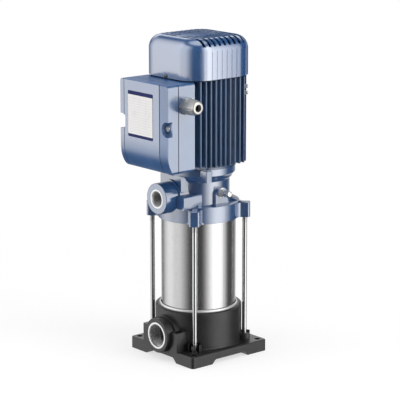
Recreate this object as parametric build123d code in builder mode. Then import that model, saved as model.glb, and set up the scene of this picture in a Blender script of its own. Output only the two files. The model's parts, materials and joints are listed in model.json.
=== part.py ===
import os
from math import cos, degrees, hypot, radians, sin, sqrt

from build123d import *

# Vertical multistage pump. A cast base carries the suction port and the feet, a stainless
# sleeve holds five stages, a cast head carries the discharge port, and a finned motor hangs
# its long shaft down through the stages. Millimetres, +Z up, origin on the shaft axis at the
# floor. Both ports and the terminal box face -Y, the vent and the cable gland face +X.

# Clearances
run_gap = 0.05  # radial, between a shaft or screw and its hole
slip_gap = 0.2  # radial, between pieces that slide together and stay put
body_gap = 0.4  # between faces that pass each other as the shaft turns

overlap = 1.0  # how far joined shapes of one piece run into each other

# Base casing
plate_half = 83.5
plate_thick = 20.0
plate_corner = 6.0
plate_edge = 2.0
foot_hole_at = 72.0
foot_hole_r = 5.0
arch_half = 40.0
front_arch_high = 8.5
side_arch_high = 7.5
arch_round = 5.0
barrel_r = 74.0
barrel_top = 83.5
barrel_lip = 1.0
boss_round = 1.6
barrel_flare = 3.0
chamber_r = 63.0
chamber_floor = 24.0
chamber_round = 12.0
shelf_r = 58.0
seat_depth = 5.5
shelf_thick = 3.0
suction_root = 44.0
suction_way_end = 48.0
collar_root = 60.0
collar_face = 78.0

# Ports: G 1 1/4 below and G 3/4 above, bored to the thread's minor diameter
suction_z = 41.8
suction_face = 93.4
suction_r = 30.0
suction_bore_r = 19.5
suction_thread_len = 21.0
suction_way_r = 17.0
discharge_z = 279.0
discharge_face = 91.5
discharge_r = 26.5
discharge_bore_r = 12.1
discharge_thread_len = 21.0
discharge_way_r = 10.5
port_chamfer = 3.0
collar_grow = 3.0
pillar_in = 26.0
pillar_out = 44.5
pillar_round = 4.0
drain_z = 40.0
drain_face = 78.0
drain_boss_r = 13.5
drain_thread_r = 6.5
drain_thread_len = 10.0
drain_hex = 17.0
drain_hex_high = 6.0
drain_reach = 19.0
drain_boss_deep = 15.0
drain_washer_r = 11.1
low_pillar_face = 86.0
low_pillar_top = 53.0
low_pillar_back = 36.0
core_wall = 4.0
core_long = 12.0
core_deep = 4.0
high_pillar_face = 69.5
high_pillar_back = 30.0
high_pillar_top = 286.0

# Tie rods
rod_at = 55.9
rod_r = 4.0
rod_grip = 14.0
nut_across = 13.0
nut_high = 8.0
washer_r = 7.6
washer_thick = 1.6
pocket_r = 8.6
pocket_wall = 4.0
pocket_top = 33.0

# Sleeve and the ring at its foot
sleeve_r = 63.7
sleeve_wall = 2.0
sleeve_len = 170.0
ring_r = 71.2
ring_tip = 1.0
ring_rise = 4.0

# Head
head_recess = 8.4
head_flange_r = 69.5
head_flange_thick = 25.9
ear_past = 9.0
ear_wide = 18.0
ear_round = 4.0
ear_blend = 8.0
ear_drop = 2.1
ear_sunk = 3.2
ear_web_thick = 9.0
ear_web_rise = 10.5
ear_web_bite = 4.0
ear_web_end = 2.0
neck_round = 4.0
neck_r = 52.9
block_half = 27.0
block_face = 61.0
block_back = 30.0
boss_root = 41.0
motor_flange_r = 62.5
motor_flange_thick = 15.0
motor_flange_bevel = 4.0
motor_seat = 328.0
head_bore_r = 46.0
head_roof_low = 297.0
head_roof_high = 309.0
recess_bevel = 4.0
roof_bevel = 8.0
shaft_room = 1.5
discharge_way_end = 34.0
slinger_well_r = 32.0
spigot_r = 45.0
spigot_deep = 3.0
lug_long = 23.0
lug_reach = 2.0
lug_low = 25.5
lug_high = 38.0
lug_deep = 19.0
lug_round = 2.0
lug_screw_in = 7.5
lug_screw_r = 2.5
lug_head_r = 4.3
lug_head_deep = 6.0
lug_head_sunk = 1.0
lug_socket = 4.0
lug_socket_deep = 2.0
vent_y = 1.3
vent_z = 286.5
vent_arch_z = 282.0
vent_half = 13.2
vent_face = 59.0
vent_thread_r = 6.0
vent_thread_len = 8.0
vent_hex = 13.0
vent_hex_high = 6.5
vent_washer_r = 8.2
vent_bore_r = 2.5
vent_knob_r = 5.5
vent_knob_len = 14.0
vent_knob_round = 2.2
vent_slot_wide = 1.2
vent_slot_deep = 1.6
plug_washer = 1.2
plug_bevel = 0.6

# Motor
shield_thick = 6.0
low_shield_thick = 3.0
shield_in = 3.0
lug_step = 3.0
frame_len = 150.0
frame_half = 64.0
frame_round = 26.0
fin_high = 8.0
frame_wall = 5.6
frame_collar = 1.6
frame_band = 2.0
fin_pitch = 10.6
fin_thick = 2.8
fin_rows = 6
fin_root = 29.0
back_fin_rows = 2
pad_half = 46.0
pad_sunk = 3.6
pad_rise = 14.0
pad_drop = 13.0
bolt_at = 42.4
bolt_r = 2.4
bolt_grip = 14.0
bolt_boss_r = 4.8
bolt_head_across = 8.0
bolt_head = 3.5
bearing_out_r = 17.5
bearing_in_r = 7.5
bearing_wide = 11.0
bearing_hub_r = 24.0
hub_lip = 1.0
ball_r = 2.9
balls = 8
race_thick = 2.6
stator_rise = 27.0
stator_len = 70.0
stator_wire_way = 6.0
rotor_r = 29.0
air_gap = 0.4
winding_high = 21.0
winding_in_r = 31.0
winding_step = 3.2
winding_round = 6.0
end_ring_out = 27.0
end_ring_in = 19.0
end_ring_high = 6.0
cover_step = 6.5
cover_round = 40.0
cover_edge = 21.9
cover_gap = 0.5
cover_high = 66.3
cover_wall = 1.6
slot_pitch = 10.7
slot_wide = 5.0
slot_deep = 11.8
slot_inner = 18.0
slots = 9
flutes = 11
flute_deep = 0.5
flute_wide = 5.0
brow_at = 47.6
brow_wide = 2.4
brow_deep = 0.9
shield_lug_half = 8.0
cover_screw_r = 1.9
cover_screw_grip = 9.0
cover_screw_head = 1.6
long_slot_reach = 6.0
fan_r = 57.0
fan_rise = 16.0
fan_blade_high = 22.0
fan_hub_r = 11.0
fan_plate = 2.2
fan_blades = 8
fan_blade_thick = 2.0
fan_disc_r = 54.0
clip_r = 8.6
clip_thick = 1.0
clip_mouth = 5.0

# Terminal box
box_half = 62.0
box_rise = 0.5
box_drop = 2.0
box_base_deep = 34.6
box_cover_deep = 22.6
box_wall = 2.6
box_corner = 5.0
gasket_thick = 0.8
toe_deep = 10.7
bend_rise = 34.5
notch_rise = 76.0
notch_r = 12.5
notch_reach = 16.0
notch_deep = 10.0
box_screw_r = 2.0
box_screw_head_r = 4.8
box_screw_head = 2.8
post_r = 4.6
screw_hole_len = 14.0
box_screw_grip = 12.0
wire_hole_r = 15.0
groove_left = -52.0
groove_right = 40.6
groove_wide = 1.2
groove_deep = 0.7
label_left = -41.0
label_right = 23.2
label_rise = 52.5
label_drop = 18.0
label_thick = 0.6
label_round = 1.5
gland_back = 18.6
gland_drop = 35.5
gland_hex = 26.0
gland_body_len = 9.0
gland_nut_len = 22.0
gland_nut_r = 13.3
gland_taper = 6.0
gland_bore_r = 6.2
gland_tube_r = 9.0
gland_tube_in = 6.4
gland_tail = 4.0
gland_tube_out = 8.0
gland_dome = 2.5
gland_lip = 7.0
wire_slot_r = 12.0
board_rise = 38.0
board_wide = 54.0
board_high = 34.0
board_round = 3.0
board_thick = 8.0
stud_pitch = 18.0
stud_nut = 8.0
stud_nut_high = 4.0
stud_r = 2.0
stud_len = 9.0
capacitor_r = 15.0
capacitor_len = 60.0
capacitor_x = -12.0
capacitor_drop = 22.9
capacitor_round = 2.0
tab_pitch = 10.0
tab_wide = 6.0
tab_thick = 0.8
tab_len = 8.0

# Shaft and stages
shaft_low = 60.0
shaft_r = 7.0
neck_shaft_r = 9.0
neck_shaft_low = 262.0
rotor_shaft_r = 11.0
fan_shaft_r = 6.0
shaft_end = 2.0
shaft_bevel = 1.0
stages = 5
stage_pitch = 27.0
inlet_thick = 6.0
stage_out_r = 61.2
stage_wall = 2.2
stage_plate = 2.0
stage_seam = 0.05
eye_r = 18.0
eye_wall = 2.6
impeller_r = 50.0
impeller_hub_r = 11.0
shroud = 1.5
passage = 6.5
impeller_lift = 1.5
eye_ring_drop = 1.0
vane_gap = 6.0
return_sweep = 34.0
impeller_sweep = -58.0
impeller_vanes = 5
diffuser_vanes = 5
vane_thick = 2.0
journal_r = 10.0
bush_wall = 2.6
bush_hub_wall = 3.2
bush_len = 12.0
bush_lift = 4.0
spider_arm = 6.0
spider_deep = 5.0
spider_len = 28.0
shaft_nut_hex = 19.0
shaft_nut_high = 7.0
seal_face_high = 10.0
seal_r = 12.5
seal_seat_r = 14.0
seal_seat_high = 6.0
bellows_high = 16.0
bellows_waves = 3
bellows_fold = 2.0
seal_gap = 0.05
seat_bore_gap = 0.6
slinger_r = 17.0
slinger_thick = 3.0
slinger_lift = 5.0

# Levels that follow from the sizes above
sleeve_low = barrel_top - seat_depth
sleeve_top = sleeve_low + sleeve_len
ring_top = barrel_top + ring_rise
head_low = sleeve_top - head_recess
flange_top = head_low + head_flange_thick
ear_low = head_low - ear_drop
ear_reach = rod_at * sqrt(2) + ear_past
ear_high = flange_top - ear_sunk
frame_low = motor_seat + low_shield_thick
frame_high = frame_low + frame_len
frame_core_r = frame_half - fin_high
frame_bore_r = frame_core_r - frame_wall
stator_r = frame_bore_r - slip_gap
winding_out_r = stator_r - winding_step
shield_r = frame_half - shield_in
pad_face = frame_half - pad_sunk
pad_low = frame_low + pad_rise
pad_high = frame_high - pad_drop
stator_low = frame_low + stator_rise
stator_high = stator_low + stator_len
cover_half = frame_half + cover_step
cover_low = frame_high + cover_gap
cover_top = cover_low + cover_high
fan_low = frame_high + fan_rise
shaft_high = fan_low + fan_blade_high + shaft_end
box_low = frame_low + box_rise
box_high = frame_high - box_drop
box_split = pad_face + box_base_deep
box_face = box_split + box_cover_deep
cover_bend_z = box_low + bend_rise
notch_z = box_low + notch_rise
gland_y = pad_face + gland_back
gland_z = box_high - gland_drop
label_low = box_low + label_rise
label_high = box_high - label_drop
board_z = box_low + board_rise
capacitor_z = box_high - capacitor_drop
stack_low = sleeve_low + inlet_thick
stack_high = stack_low + stages * stage_pitch
hub_len = 2 * shroud + passage + impeller_lift
box_screw_x = box_half - notch_reach + box_screw_head_r + body_gap
notch_x = box_half + notch_r - notch_reach
post_web = box_half - box_wall + overlap - box_screw_x
pillar_x = (pillar_in + pillar_out) / 2
pillar_wide = pillar_out - pillar_in
lug_out = frame_half + lug_reach
lug_x = lug_out - lug_long / 2
lug_screw_x = lug_out - lug_screw_in
lug_y = (lug_low + lug_high) / 2
lug_under = motor_seat - lug_deep
lug_spots = [Pos(lug_x, -lug_y), Pos(-lug_x, -lug_y), Pos(0, lug_x) * Rot(0, 0, 90)]
lug_screws = [(lug_screw_x, -lug_y), (-lug_screw_x, -lug_y), (0, lug_screw_x)]
corners = [(x, y) for x in (-1, 1) for y in (-1, 1)]

os.makedirs("parts", exist_ok=True)


def save(piece, label):
    """Label a finished piece and write its STEP file."""
    piece.part.label = label
    export_step(piece.part, f"parts/{label}.step")


def ring_at(low, high, outer, inner):
    """Revolve a plain ring or bush about the shaft axis."""
    with BuildPart() as made:
        with BuildSketch(Plane.XY.offset(low)):
            Circle(outer)
            Circle(inner, mode=Mode.SUBTRACT)
        extrude(amount=high - low)
    return made


def cover_screw_plane(turn, reach):
    """Plane across a fan-cover screw, at a reach from the shaft axis."""
    outward = (sin(radians(turn)), -cos(radians(turn)), 0)
    middle = Plane(origin=(0, 0, frame_high + shield_thick / 2), x_dir=(0, 0, 1), z_dir=outward)
    return middle.offset(reach)


# Base casing: the plate with its four feet, the barrel, the suction boss, the two bolt
# pillars beside it and the pockets round the tie-rod nuts
with BuildPart() as base_casing:
    with BuildSketch():
        RectangleRounded(2 * plate_half, 2 * plate_half, plate_corner)
    extrude(amount=plate_thick)
    fillet(base_casing.faces().sort_by(Axis.Z)[-1].edges(), plate_edge)
    with BuildSketch(Plane.XZ) as barrel_profile:
        with BuildLine():
            foot = Polyline(
                (0, plate_thick - overlap),
                (barrel_r + barrel_flare, plate_thick - overlap),
                (barrel_r + barrel_flare, plate_thick),
            )
            flare = TangentArc(foot @ 1, (barrel_r, plate_thick + barrel_flare), tangent=(-1, 0))
            Polyline(flare @ 1, (barrel_r, barrel_top), (0, barrel_top), foot @ 0)
        make_face()
    revolve(axis=Axis.Z)
    with BuildSketch(Plane.XZ.offset(suction_root)):
        with Locations((0, suction_z)):
            Circle(suction_r)
    extrude(amount=suction_face - suction_root)
    boss_rim = base_casing.faces().sort_by(Axis.Y)[0].edges()
    fillet(boss_rim, boss_round)
    with BuildSketch(Plane.XZ.offset(collar_root)):
        with Locations((0, suction_z)):
            Circle(suction_r + collar_grow)
    extrude(amount=collar_face - collar_root)
    with BuildSketch(Plane.XY.offset(plate_thick - overlap)):
        for side in (-1, 1):
            with Locations((side * pillar_x, -(low_pillar_face + low_pillar_back) / 2)):
                Rectangle(pillar_wide, low_pillar_face - low_pillar_back)
    extrude(amount=low_pillar_top - plate_thick + overlap)
    with BuildSketch(Plane.XY.offset(plate_thick - overlap)):
        for sx, sy in corners:
            with Locations((sx * rod_at, sy * rod_at)):
                Circle(pocket_r + pocket_wall)
    extrude(amount=pocket_top - plate_thick + overlap)
    with BuildSketch(Plane.YZ.offset(-drain_face)):
        with Locations((0, drain_z)):
            Circle(drain_boss_r)
    extrude(amount=drain_boss_deep)

    # Hollow inside, from the mouth that takes the sleeve down to the chamber floor
    with BuildSketch(Plane.XZ) as chamber_profile:
        with BuildLine():
            mouth = Polyline(
                (0, barrel_top),
                (ring_r + slip_gap, barrel_top),
                (ring_r + slip_gap, sleeve_low),
                (shelf_r, sleeve_low),
                (shelf_r, sleeve_low - shelf_thick),
                (chamber_r, sleeve_low - shelf_thick - (chamber_r - shelf_r)),
                (chamber_r, chamber_floor + chamber_round),
            )
            round_floor = TangentArc(
                mouth @ 1, (chamber_r - chamber_round, chamber_floor), tangent=(0, -1)
            )
            Polyline(round_floor @ 1, (0, chamber_floor), (0, barrel_top))
        make_face()
    revolve(axis=Axis.Z, mode=Mode.SUBTRACT)
    lip = base_casing.edges().filter_by(GeomType.CIRCLE).group_by(Axis.Z)[-1]
    fillet(lip, barrel_lip)

    # Nut pockets open to the corner, with the tapped hole for the rod under each
    for sx, sy in corners:
        pocket_plane = Plane(
            origin=(sx * rod_at, sy * rod_at, plate_thick), x_dir=(sx, sy, 0), z_dir=(0, 0, 1)
        )
        with BuildSketch(pocket_plane):
            Circle(pocket_r)
            with Locations((pocket_r + pocket_wall, 0)):
                Rectangle(2 * (pocket_r + pocket_wall), 2 * pocket_r)
        extrude(amount=pocket_top - plate_thick, mode=Mode.SUBTRACT)
    with BuildSketch(Plane.XY.offset(plate_thick - rod_grip)):
        for sx, sy in corners:
            with Locations((sx * rod_at, sy * rod_at)):
                Circle(rod_r + run_gap)
    extrude(amount=rod_grip, mode=Mode.SUBTRACT)

    # Suction thread bore, its bright chamfer and the waterway behind it
    with BuildSketch(Plane.XZ.offset(suction_face)):
        with Locations((0, suction_z)):
            Circle(suction_bore_r + port_chamfer)
    extrude(amount=-port_chamfer, taper=45, mode=Mode.SUBTRACT)
    with BuildSketch(Plane.XZ.offset(suction_face)):
        with Locations((0, suction_z)):
            Circle(suction_bore_r)
    extrude(amount=-suction_thread_len, mode=Mode.SUBTRACT)
    with BuildSketch(Plane.XZ.offset(suction_face)):
        with Locations((0, suction_z)):
            Circle(suction_way_r)
    extrude(amount=suction_way_end - suction_face, mode=Mode.SUBTRACT)

    with BuildSketch(Plane.YZ.offset(-drain_face)):
        with Locations((0, drain_z)):
            Circle(drain_thread_r + run_gap)
    extrude(amount=drain_reach, mode=Mode.SUBTRACT)

    # Arches between the feet, both ways under the plate
    for arch_plane, arch_high in ((Plane.XZ, front_arch_high), (Plane.YZ, side_arch_high)):
        with BuildSketch(arch_plane.offset(-plate_half - overlap)) as arch:
            with BuildLine():
                Polyline(
                    (-arch_half, 0),
                    (-arch_half + arch_high, arch_high),
                    (arch_half - arch_high, arch_high),
                    (arch_half, 0),
                    close=True,
                )
            make_face()
            fillet(arch.vertices().group_by(Axis.Y)[-1], arch_round)
        extrude(amount=2 * (plate_half + overlap), mode=Mode.SUBTRACT)
    with BuildSketch():
        for sx, sy in corners:
            with Locations((sx * foot_hole_at, sy * foot_hole_at)):
                Circle(foot_hole_r)
    extrude(amount=plate_thick, mode=Mode.SUBTRACT)

    # Cored tops of the bolt pillars
    with BuildSketch(Plane.XY.offset(low_pillar_top)):
        for side in (-1, 1):
            with Locations((side * pillar_x, core_long - low_pillar_face)):
                Rectangle(pillar_wide - 2 * core_wall, core_long)
    extrude(amount=-core_deep, mode=Mode.SUBTRACT)
save(base_casing, "base_casing")

# Bright ring that centres the sleeve in the mouth of the base casing
with BuildPart() as foot_ring:
    with BuildSketch(Plane.XZ):
        with BuildLine():
            Polyline(
                (sleeve_r + slip_gap, sleeve_low),
                (ring_r, sleeve_low),
                (ring_r, barrel_top),
                (sleeve_r + slip_gap + ring_tip, ring_top),
                (sleeve_r + slip_gap, ring_top),
                close=True,
            )
        make_face()
    revolve(axis=Axis.Z)
save(foot_ring, "foot_ring")

outer_sleeve = ring_at(
    sleeve_low + gasket_thick, sleeve_top - gasket_thick, sleeve_r, sleeve_r - sleeve_wall
)
save(outer_sleeve, "outer_sleeve")

# Head: one casting from the sleeve seat up to the motor seat
with BuildPart() as discharge_head:
    with BuildSketch(Plane.XZ):
        with BuildLine():
            Polyline(
                (0, head_low),
                (head_flange_r, head_low),
                (head_flange_r, flange_top),
                (neck_r, flange_top),
                (neck_r, motor_seat - motor_flange_thick - 2 * motor_flange_bevel),
                (neck_r + motor_flange_bevel, motor_seat - motor_flange_thick - motor_flange_bevel),
                (motor_flange_r - motor_flange_bevel, motor_seat - motor_flange_thick),
                (motor_flange_r, motor_seat - motor_flange_thick + motor_flange_bevel),
                (motor_flange_r, motor_seat),
                (0, motor_seat),
                close=True,
            )
        make_face()
    revolve(axis=Axis.Z)
    neck_root = (
        discharge_head.edges().filter_by(GeomType.CIRCLE)
        .filter_by(lambda e: abs(e.radius - neck_r) < 0.01 and abs(e.center().Z - flange_top) < 0.01)
    )
    fillet(neck_root, neck_round)

    # Four ears for the tie rods: lugs on the diagonals, blended into the round flange
    with BuildSketch(Plane.XY.offset(ear_low)) as ears:
        Circle(head_flange_r - overlap)
        with PolarLocations(ear_reach / 2, 4, start_angle=45):
            Rectangle(ear_reach, ear_wide)
        fillet([v for v in ears.vertices() if hypot(v.X, v.Y) > ear_reach - overlap], ear_round)
        roots = [v for v in ears.vertices() if hypot(v.X, v.Y) < head_flange_r]
        fillet([v for v in roots if min(abs(v.X), abs(v.Y)) > ear_wide], ear_blend)
    extrude(amount=ear_high - ear_low)

    # Webs that curve up from the ears to the neck
    for turn in (45, 135, 225, 315):
        web_plane = Plane(
            origin=(0, 0, 0),
            x_dir=(cos(radians(turn)), sin(radians(turn)), 0),
            z_dir=(sin(radians(turn)), -cos(radians(turn)), 0),
        )
        with BuildSketch(web_plane):
            with BuildLine():
                web_end = (ear_reach - ear_web_end, ear_high)
                crest = TangentArc(web_end, (neck_r, ear_high + ear_web_rise), tangent=(-1, 0))
                Polyline(
                    crest @ 1,
                    (neck_r - ear_web_bite, ear_high + ear_web_rise),
                    (neck_r - ear_web_bite, ear_high - ear_web_bite),
                    (ear_reach - ear_web_end, ear_high - ear_web_bite),
                    crest @ 0,
                )
            make_face()
        extrude(amount=ear_web_thick / 2, both=True)

    # Discharge boss, the block behind it up to the motor flange, and the two bolt pillars
    with BuildSketch(Plane.XZ.offset(boss_root)):
        with Locations((0, discharge_z)):
            Circle(discharge_r)
    extrude(amount=discharge_face - boss_root)
    fillet(discharge_head.faces().sort_by(Axis.Y)[0].edges(), boss_round)
    with BuildSketch(Plane.XZ.offset(boss_root)):
        with Locations((0, discharge_z)):
            Circle(discharge_r + collar_grow)
    extrude(amount=block_face + collar_grow - boss_root)
    with BuildSketch(Plane.XY.offset(flange_top - overlap)):
        with Locations((0, -(block_face + block_back) / 2)):
            Rectangle(2 * block_half, block_face - block_back)
    extrude(amount=motor_seat - motor_flange_thick + motor_flange_bevel - flange_top + overlap)
    for side in (-1, 1):
        with BuildSketch(Plane.XZ.offset(high_pillar_back)) as pillar:
            with Locations((side * pillar_x, (flange_top + high_pillar_top) / 2 - overlap)):
                Rectangle(pillar_wide, high_pillar_top - flange_top + 2 * overlap)
            top_corners = pillar.vertices().group_by(Axis.Y)[-1].sort_by(Axis.X)
            fillet(top_corners[-1 if side > 0 else 0], pillar_round)
        extrude(amount=high_pillar_face - high_pillar_back)

    # Screw lugs under the motor flange, two beside the box and one at the back
    for spot in lug_spots:
        with BuildSketch(Plane.XY.offset(lug_under)):
            with Locations(spot):
                RectangleRounded(lug_long, lug_high - lug_low, lug_round)
        extrude(amount=lug_deep)

    # Vent boss with its arched top
    with BuildSketch(Plane.YZ.offset(boss_root)):
        with Locations((vent_y, vent_arch_z)):
            Circle(vent_half)
        with Locations((vent_y, (vent_arch_z + flange_top) / 2)):
            Rectangle(2 * vent_half, vent_arch_z - flange_top + 2 * overlap)
    extrude(amount=vent_face - boss_root)

    # Hollow: sleeve recess, discharge chamber, seal seat, shaft hole, slinger well, spigot
    with BuildSketch(Plane.XZ):
        with BuildLine():
            Polyline(
                (0, ear_low),
                (sleeve_r + slip_gap, ear_low),
                (sleeve_r + slip_gap, sleeve_top),
                (head_bore_r + recess_bevel, sleeve_top),
                (head_bore_r, sleeve_top + recess_bevel),
                (head_bore_r, head_roof_low - roof_bevel),
                (head_bore_r - roof_bevel, head_roof_low),
                (seal_seat_r + slip_gap, head_roof_low),
                (seal_seat_r + slip_gap, head_roof_low + seal_seat_high),
                (neck_shaft_r + shaft_room, head_roof_low + seal_seat_high),
                (neck_shaft_r + shaft_room, head_roof_high),
                (slinger_well_r, head_roof_high),
                (slinger_well_r, motor_seat - spigot_deep),
                (spigot_r + slip_gap, motor_seat - spigot_deep),
                (spigot_r + slip_gap, motor_seat),
                (0, motor_seat),
                close=True,
            )
        make_face()
    revolve(axis=Axis.Z, mode=Mode.SUBTRACT)

    # Discharge thread bore, chamfer and waterway
    with BuildSketch(Plane.XZ.offset(discharge_face)):
        with Locations((0, discharge_z)):
            Circle(discharge_bore_r + port_chamfer)
    extrude(amount=-port_chamfer, taper=45, mode=Mode.SUBTRACT)
    with BuildSketch(Plane.XZ.offset(discharge_face)):
        with Locations((0, discharge_z)):
            Circle(discharge_bore_r)
    extrude(amount=-discharge_thread_len, mode=Mode.SUBTRACT)
    with BuildSketch(Plane.XZ.offset(discharge_face)):
        with Locations((0, discharge_z)):
            Circle(discharge_way_r)
    extrude(amount=discharge_way_end - discharge_face, mode=Mode.SUBTRACT)

    # Vent thread, rod holes in the ears, screw holes up through the lugs
    with BuildSketch(Plane.YZ.offset(vent_face)):
        with Locations((vent_y, vent_z)):
            Circle(vent_thread_r + run_gap)
    extrude(amount=head_bore_r - 2 * overlap - vent_face, mode=Mode.SUBTRACT)
    with BuildSketch(Plane.XY.offset(ear_low)):
        for sx, sy in corners:
            with Locations((sx * rod_at, sy * rod_at)):
                Circle(rod_r + run_gap)
    extrude(amount=rod_grip, mode=Mode.SUBTRACT)
    with BuildSketch(Plane.XY.offset(lug_under)):
        with Locations(*lug_screws):
            Circle(lug_head_r + run_gap)
    extrude(amount=lug_head_deep, mode=Mode.SUBTRACT)
    with BuildSketch(Plane.XY.offset(lug_under)):
        with Locations(*lug_screws):
            Circle(lug_screw_r + run_gap)
    extrude(amount=lug_deep, mode=Mode.SUBTRACT)
save(discharge_head, "discharge_head")

# Tie rods between plate and ears, with a lock nut and a washer on each at the plate
with BuildPart() as tie_rods:
    with BuildSketch(Plane.XY.offset(plate_thick - rod_grip)):
        for sx, sy in corners:
            with Locations((sx * rod_at, sy * rod_at)):
                Circle(rod_r)
    extrude(amount=ear_low - plate_thick + 2 * rod_grip)
save(tie_rods, "tie_rods")

with BuildPart() as tie_rod_washers:
    with BuildSketch(Plane.XY.offset(plate_thick)):
        for sx, sy in corners:
            with Locations((sx * rod_at, sy * rod_at)):
                Circle(washer_r)
                Circle(rod_r + run_gap, mode=Mode.SUBTRACT)
    extrude(amount=washer_thick)
save(tie_rod_washers, "tie_rod_washers")

with BuildPart() as tie_rod_nuts:
    with BuildSketch(Plane.XY.offset(plate_thick + washer_thick)):
        for sx, sy in corners:
            with Locations((sx * rod_at, sy * rod_at)):
                RegularPolygon(nut_across / 2, 6, major_radius=False)
                Circle(rod_r + run_gap, mode=Mode.SUBTRACT)
    extrude(amount=nut_high)
save(tie_rod_nuts, "tie_rod_nuts")

# Motor screws, hidden in the lugs' counterbores
with BuildPart() as motor_screws:
    with BuildSketch(Plane.XY.offset(lug_under + lug_head_sunk)):
        with Locations(*lug_screws):
            Circle(lug_head_r)
            RegularPolygon(lug_socket / 2, 6, major_radius=False, mode=Mode.SUBTRACT)
    extrude(amount=lug_head_deep - lug_head_sunk)
    with BuildSketch(Plane.XY.offset(lug_under + lug_head_sunk + lug_socket_deep)):
        with Locations(*lug_screws):
            Circle(lug_screw_r)
    extrude(amount=lug_deep - lug_head_sunk - lug_socket_deep + low_shield_thick - slip_gap)
save(motor_screws, "motor_screws")

# Vent plug in the arched boss, and the screw that turns in it
with BuildPart() as vent_plug:
    with BuildSketch(Plane.YZ.offset(vent_face)):
        with Locations((vent_y, vent_z)):
            Circle(vent_thread_r)
    extrude(amount=-vent_thread_len)
    with BuildSketch(Plane.YZ.offset(vent_face)):
        with Locations((vent_y, vent_z)):
            Circle(vent_washer_r)
    extrude(amount=plug_washer)
    with BuildSketch(Plane.YZ.offset(vent_face + plug_washer)):
        with Locations((vent_y, vent_z)):
            RegularPolygon(vent_hex / 2, 6, major_radius=False)
    extrude(amount=vent_hex_high - plug_washer)
    chamfer(vent_plug.faces().sort_by(Axis.X)[-1].edges(), plug_bevel)
    with BuildSketch(Plane.YZ.offset(vent_face + vent_hex_high)):
        with Locations((vent_y, vent_z)):
            Circle(vent_bore_r + run_gap)
    extrude(amount=-(vent_hex_high + vent_thread_len), mode=Mode.SUBTRACT)
save(vent_plug, "vent_plug")

with BuildPart() as vent_screw:
    with BuildSketch(Plane.YZ.offset(vent_face - vent_thread_len + 2 * overlap)):
        with Locations((vent_y, vent_z)):
            Circle(vent_bore_r)
    extrude(amount=vent_hex_high + vent_thread_len - 2 * overlap + body_gap)
    with BuildSketch(Plane.YZ.offset(vent_face + vent_hex_high + body_gap)):
        with Locations((vent_y, vent_z)):
            Circle(vent_knob_r)
    extrude(amount=vent_knob_len)
    fillet(vent_screw.faces().sort_by(Axis.X)[-1].edges(), vent_knob_round)
    with BuildSketch(Plane.YZ.offset(vent_face + vent_hex_high + body_gap + vent_knob_len)):
        with Locations((vent_y, vent_z)):
            Rectangle(vent_slot_wide, 2 * vent_knob_r)
    extrude(amount=-vent_slot_deep, mode=Mode.SUBTRACT)
save(vent_screw, "vent_screw")

# Lower motor shield with its spigot, lugs and bearing hub
with BuildPart() as lower_shield:
    with BuildSketch(Plane.XY.offset(motor_seat)):
        Circle(shield_r)
        for spot in lug_spots:
            with Locations(spot):
                RectangleRounded(lug_long - lug_step, lug_high - lug_low - lug_step, lug_round)
    extrude(amount=low_shield_thick)
    with BuildSketch(Plane.XY.offset(motor_seat - spigot_deep)):
        Circle(spigot_r)
    extrude(amount=spigot_deep)
    with BuildSketch(Plane.XY.offset(frame_low)):
        Circle(bearing_hub_r)
    extrude(amount=bearing_wide + hub_lip)
    with BuildSketch(Plane.XY.offset(frame_low)):
        Circle(bearing_out_r + run_gap)
    extrude(amount=bearing_wide + hub_lip, mode=Mode.SUBTRACT)
    with BuildSketch(Plane.XY.offset(motor_seat - spigot_deep)):
        Circle(neck_shaft_r + shaft_room)
    extrude(amount=spigot_deep + low_shield_thick, mode=Mode.SUBTRACT)
    with BuildSketch(Plane.XY.offset(motor_seat)):
        with Locations(*lug_screws):
            Circle(lug_screw_r + run_gap)
    extrude(amount=low_shield_thick, mode=Mode.SUBTRACT)
save(lower_shield, "lower_shield")

# Motor frame: the core and its parallel fins are one extruded outline
with BuildPart() as motor_frame:
    with BuildSketch(Plane.XY.offset(frame_low)):
        Circle(frame_core_r + frame_band)
        Circle(frame_bore_r, mode=Mode.SUBTRACT)
    extrude(amount=frame_len)
    with BuildSketch(Plane.XY.offset(frame_low + frame_collar)):
        RectangleRounded(2 * frame_half, 2 * frame_half, frame_round)
        with Locations((0, -frame_half)):
            Rectangle(2 * frame_half, 2 * (frame_half - pad_face), mode=Mode.SUBTRACT)
        gap = fin_pitch - fin_thick
        for row in range(1 - fin_rows, fin_rows):
            inner = sqrt(max(frame_core_r**2 - (row * fin_pitch) ** 2, fin_root**2)) - overlap
            for side in (-1, 1):
                with Locations((side * (inner + frame_half) / 2, row * fin_pitch)):
                    Rectangle(frame_half - inner + 4 * overlap, gap, mode=Mode.SUBTRACT)
        for row in range(-back_fin_rows, back_fin_rows + 1):
            with Locations((row * fin_pitch, (frame_core_r + frame_half) / 2 + overlap)):
                Rectangle(gap, frame_half - frame_core_r + 2 * overlap, mode=Mode.SUBTRACT)
        Circle(frame_core_r)
        for sx, sy in corners:
            with Locations((sx * bolt_at, sy * bolt_at)):
                Circle(bolt_boss_r)
        Circle(frame_bore_r, mode=Mode.SUBTRACT)
    extrude(amount=frame_len - 2 * frame_collar)
    with BuildSketch(Plane.XZ.offset(frame_bore_r)):
        with Locations((0, (pad_low + pad_high) / 2)):
            Rectangle(2 * pad_half, pad_high - pad_low)
    extrude(amount=pad_face - frame_bore_r)
    with BuildSketch(Plane.XZ.offset(pad_face)):
        with Locations((0, notch_z)):
            Circle(wire_slot_r)
    extrude(amount=stator_r - stator_wire_way - pad_face, mode=Mode.SUBTRACT)
    with BuildSketch(Plane.XY.offset(frame_low)):
        Circle(frame_bore_r)
    extrude(amount=frame_len, mode=Mode.SUBTRACT)
    with BuildSketch(Plane.XY.offset(frame_high)):
        for sx, sy in corners:
            with Locations((sx * bolt_at, sy * bolt_at)):
                Circle(bolt_r + run_gap)
    extrude(amount=-bolt_grip, mode=Mode.SUBTRACT)
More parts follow.
